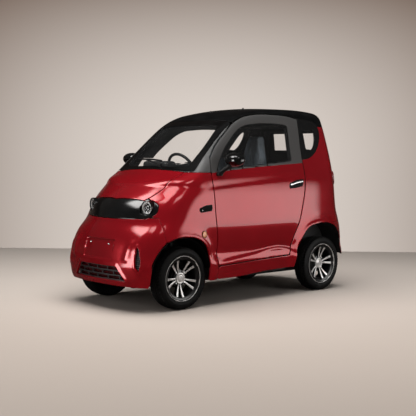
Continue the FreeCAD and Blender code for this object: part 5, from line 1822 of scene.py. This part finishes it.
@dataclass
class Studio:
    """The camera, the floor with its far wall, and the lights."""

    camera_at: tuple = (5.6396, -5.3265, 1.1881)
    azimuth: float = 46.9592
    down: float = 3.0375
    roll: float = 0.6399
    lens: float = 73.42
    wall: tuple = (0.73, 0.66, 0.605)
    # The dark colour the wall fades to at its sides and top: painted shade.
    wall_edge: tuple = (0.22, 0.165, 0.135)
    wall_behind: float = 3.8
    room_end: float = 9.5
    floor: tuple = (0.615, 0.535, 0.475)
    # The lighter colour of the floor's far part: painted light.
    far_floor: tuple = (0.665, 0.595, 0.54)

    def build(self) -> None:
        """Makes the room round the car."""
        self.camera()
        self.room()
        self.lights()

    def camera(self) -> None:
        """Makes the camera at the photograph's angle."""
        a, e, c = (math.radians(v) for v in (self.azimuth, self.down, self.roll))
        back = Vector((math.sin(a) * math.cos(e), -math.cos(a) * math.cos(e), math.sin(e)))
        right = Vector((math.cos(a), math.sin(a), 0))
        up = back.cross(right)
        r2 = right * math.cos(c) + up * math.sin(c)
        u2 = up * math.cos(c) - right * math.sin(c)
        data = bpy.data.cameras.new("camera")
        data.lens, data.sensor_width = self.lens, 36.0
        item = put("camera", data)
        turn = Matrix((r2, u2, back)).transposed().to_4x4()
        item.matrix_world = Matrix.Translation(self.camera_at) @ turn
        bpy.context.scene.camera = item

    def room(self) -> None:
        """Makes the floor and a far wall, whose glowing paint, darker towards its sides and top as
        painted shade, comes down over the floor's far part.

        So the wall seems to begin where the photograph's does, yet hides no view of the back.
        """
        a = math.radians(self.azimuth)
        far = np.array([-math.sin(a), math.cos(a)])
        side = np.array([math.cos(a), math.sin(a)])
        profile = [(-30, 0), (-8, 0), (0, 0), (self.room_end - 0.01, 0), (self.room_end, 0.01),
                   (self.room_end, 20)]
        pts = [(*(far * d + side * s), z) for d, z in profile for s in (-30, -4, 4, 30)]
        mesh = bpy.data.meshes.new("backdrop")
        mesh.from_pydata(pts, [], Build.grid(len(profile), 4))
        g = Graph("backdrop_grey")
        x, y, z = g.axes()
        path = g.add("LightPath").socket.node
        seen = Val(g, path.outputs["Is Camera Ray"]) + Val(g, path.outputs["Is Transmission Ray"])
        mirrored = Val(g, path.outputs["Is Glossy Ray"])
        cloud = g.noise(1.6, 4)
        along = x * far[0] + y * far[1]
        away = -float(np.dot(far, self.camera_at[:2]))
        nearer = (self.wall_behind + away) / (along + away)
        across = (x * side[0] + y * side[1]) * nearer
        above = (z - self.camera_at[2]) * nearer
        above = above * (above > 0)
        # The wall is painted darker towards its sides and top, as a vignette of painted shade.
        painted_vignette = (1 - across * across * 0.045) * (1 - above * above * 0.11)
        wall = g.mix(painted_vignette / 0.7 - 0.43, self.wall_edge, self.wall)
        on_wall = along > self.wall_behind
        dim = mirrored * z.ramp(4.4, 2.0) * 0.19 + 0.07
        glow = g.mix(on_wall, (0, 0, 0), g.mix(seen, g.mix(dim, (0, 0, 0), wall), wall))
        # The floor is painted lighter away from the camera: painted light where the lamps reach it
        # less.
        floor = g.mix(along.ramp(-2.6, 1.0), self.floor, self.far_floor)
        floor = g.mix(cloud * 0.12, floor, (0.55, 0.46, 0.40))
        # For glossy rays the floor turns near black: painted shade for the floor near the car that
        # the lower panels mirror.
        floor = g.mix(on_wall, g.mix(mirrored * 0.93, floor, (0.01, 0.006, 0.006)), (0, 0, 0))
        mesh.materials.append(g.finish(Base_Color=floor, Roughness=1.0, Specular_IOR_Level=0.0,
                                       Emission_Color=glow, Emission_Strength=1.0))
        put("backdrop", mesh)

    @staticmethod
    def aimed(name: str, data: bpy.types.ID, place: Numbers,
              aim: Numbers) -> bpy.types.Object:
        """Returns a new object that stands at a place and faces another."""
        item = put(name, data)
        item.location = place
        item.rotation_euler = (Vector(aim) - Vector(place)).to_track_quat("-Z", "Y").to_euler()
        return item

    def board(self, name: str, place: Numbers, aim: Numbers, size: Pair,
              level: float, soft: Pair) -> None:
        """Makes one glowing board with soft edges, which shows only in gloss.

        Args:
            name: its name.
            place: where it stands, in metres.
            aim: what it faces.
            size: its width and height.
            level: how bright it is, where white is 1.
            soft: how far its glow fades in from the bottom and from the other edges.
        """
        w, h = size[0] / 2, size[1] / 2
        mesh = bpy.data.meshes.new(name)
        mesh.from_pydata([(-w, -h, 0), (w, -h, 0), (w, h, 0), (-w, h, 0)], [], [(0, 1, 2, 3)])
        g = Graph(name + "_glow")
        x, y, _ = g.axes()
        low, rest = soft
        fade = x.ramp(-w, rest - w) * x.ramp(w, w - rest)
        fade = fade * y.ramp(-h, low - h) * y.ramp(h, h - rest)
        glow = g.mix(fade, (0, 0, 0), (1, 0.98, 0.96))
        mesh.materials.append(g.finish(Base_Color=(0, 0, 0), Roughness=1.0, Emission_Color=glow,
                                       Emission_Strength=level))
        item = self.aimed(name, mesh, place, aim)
        item.visible_camera = item.visible_diffuse = item.visible_shadow = False

    def lamp(self, name: str, place: Numbers, aim: Numbers, size: Pair,
             power: float, color: tuple = (1, 1, 1)) -> None:
        """Makes one soft light.

        Args:
            name: its name.
            place: where it stands, in metres.
            aim: what it points at.
            size: its width and height.
            power: its power in watts.
            color: its colour.
        """
        data = bpy.data.lights.new(name, "AREA")
        data.shape, data.size, data.size_y = "RECTANGLE", size[0], size[1]
        data.energy, data.color = power, color
        self.aimed(name, data, place, aim).visible_glossy = False

    def lights(self) -> None:
        """Makes soft lights above and round the car, the boards and a dim world."""
        self.lamp("overhead", (0.3, -0.6, 5.0), (0.2, 0, 0.4), (5.0, 4.0), 325, (1, 0.985, 0.97))
        self.lamp("front_soft", (1.5, -6.5, 2.6), (0, -0.4, 0.7), (4.0, 2.5), 55)
        self.lamp("side_soft", (6.5, 1.5, 2.4), (0, 0.2, 0.8), (4.0, 2.5), 55)
        for name, place, aim, size, level, soft in (
                ("side_board", (2.02, 1.35, 0.91), (0.5, 1.35, 0.91), (3.3, 1.1), 2.6, (0.02, 0.5)),
                ("top_board", (0.3, -2.2, 4.1), (0.35, -0.95, 0.95), (1.8, 1.5), 5.0, (0.3, 0.3)),
                ("nose_board", (-0.3, -2.75, 0.62), (0.35, -1.2, 0.5), (0.9, 1.24), 8.0,
                 (0.05, 0.2)),
                ("left_board", (-0.8, -2.3, 3.3), (0.3, -1.0, 0.85), (1.6, 1.6), 7.0, (0.4, 0.4)),
                ("wing_board", (2.36, -1.61, 3.2), (0.53, -0.8, 1.0), (1.1, 0.9), 4.0, (0.3, 0.3))):
            self.board(name, place, aim, size, level, soft)
        world = bpy.data.worlds.new("room_light")
        world.use_nodes = True
        back = world.node_tree.nodes["Background"]
        back.inputs["Color"].default_value = (0.95, 0.93, 0.9, 1)
        back.inputs["Strength"].default_value = 0.06
        bpy.context.scene.world = world
        bpy.context.scene.view_settings.view_transform = "Standard"


def main() -> None:
    """Builds the scene."""
    logging.basicConfig(level=logging.INFO, format="%(message)s")
    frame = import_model()
    Studio().build()
    finishes = Finishes()
    for part in (Bodywork(finishes), Doors(finishes), Mirrors(finishes), FrontEnd(finishes),
                 TailEnd(finishes), Wheels(finishes), Cabin(finishes),
                 Underside(finishes, frame["nodes"])):
        LOG.info("building %s", type(part).__name__)
        part.build()


if __name__ == "__main__":
    main()
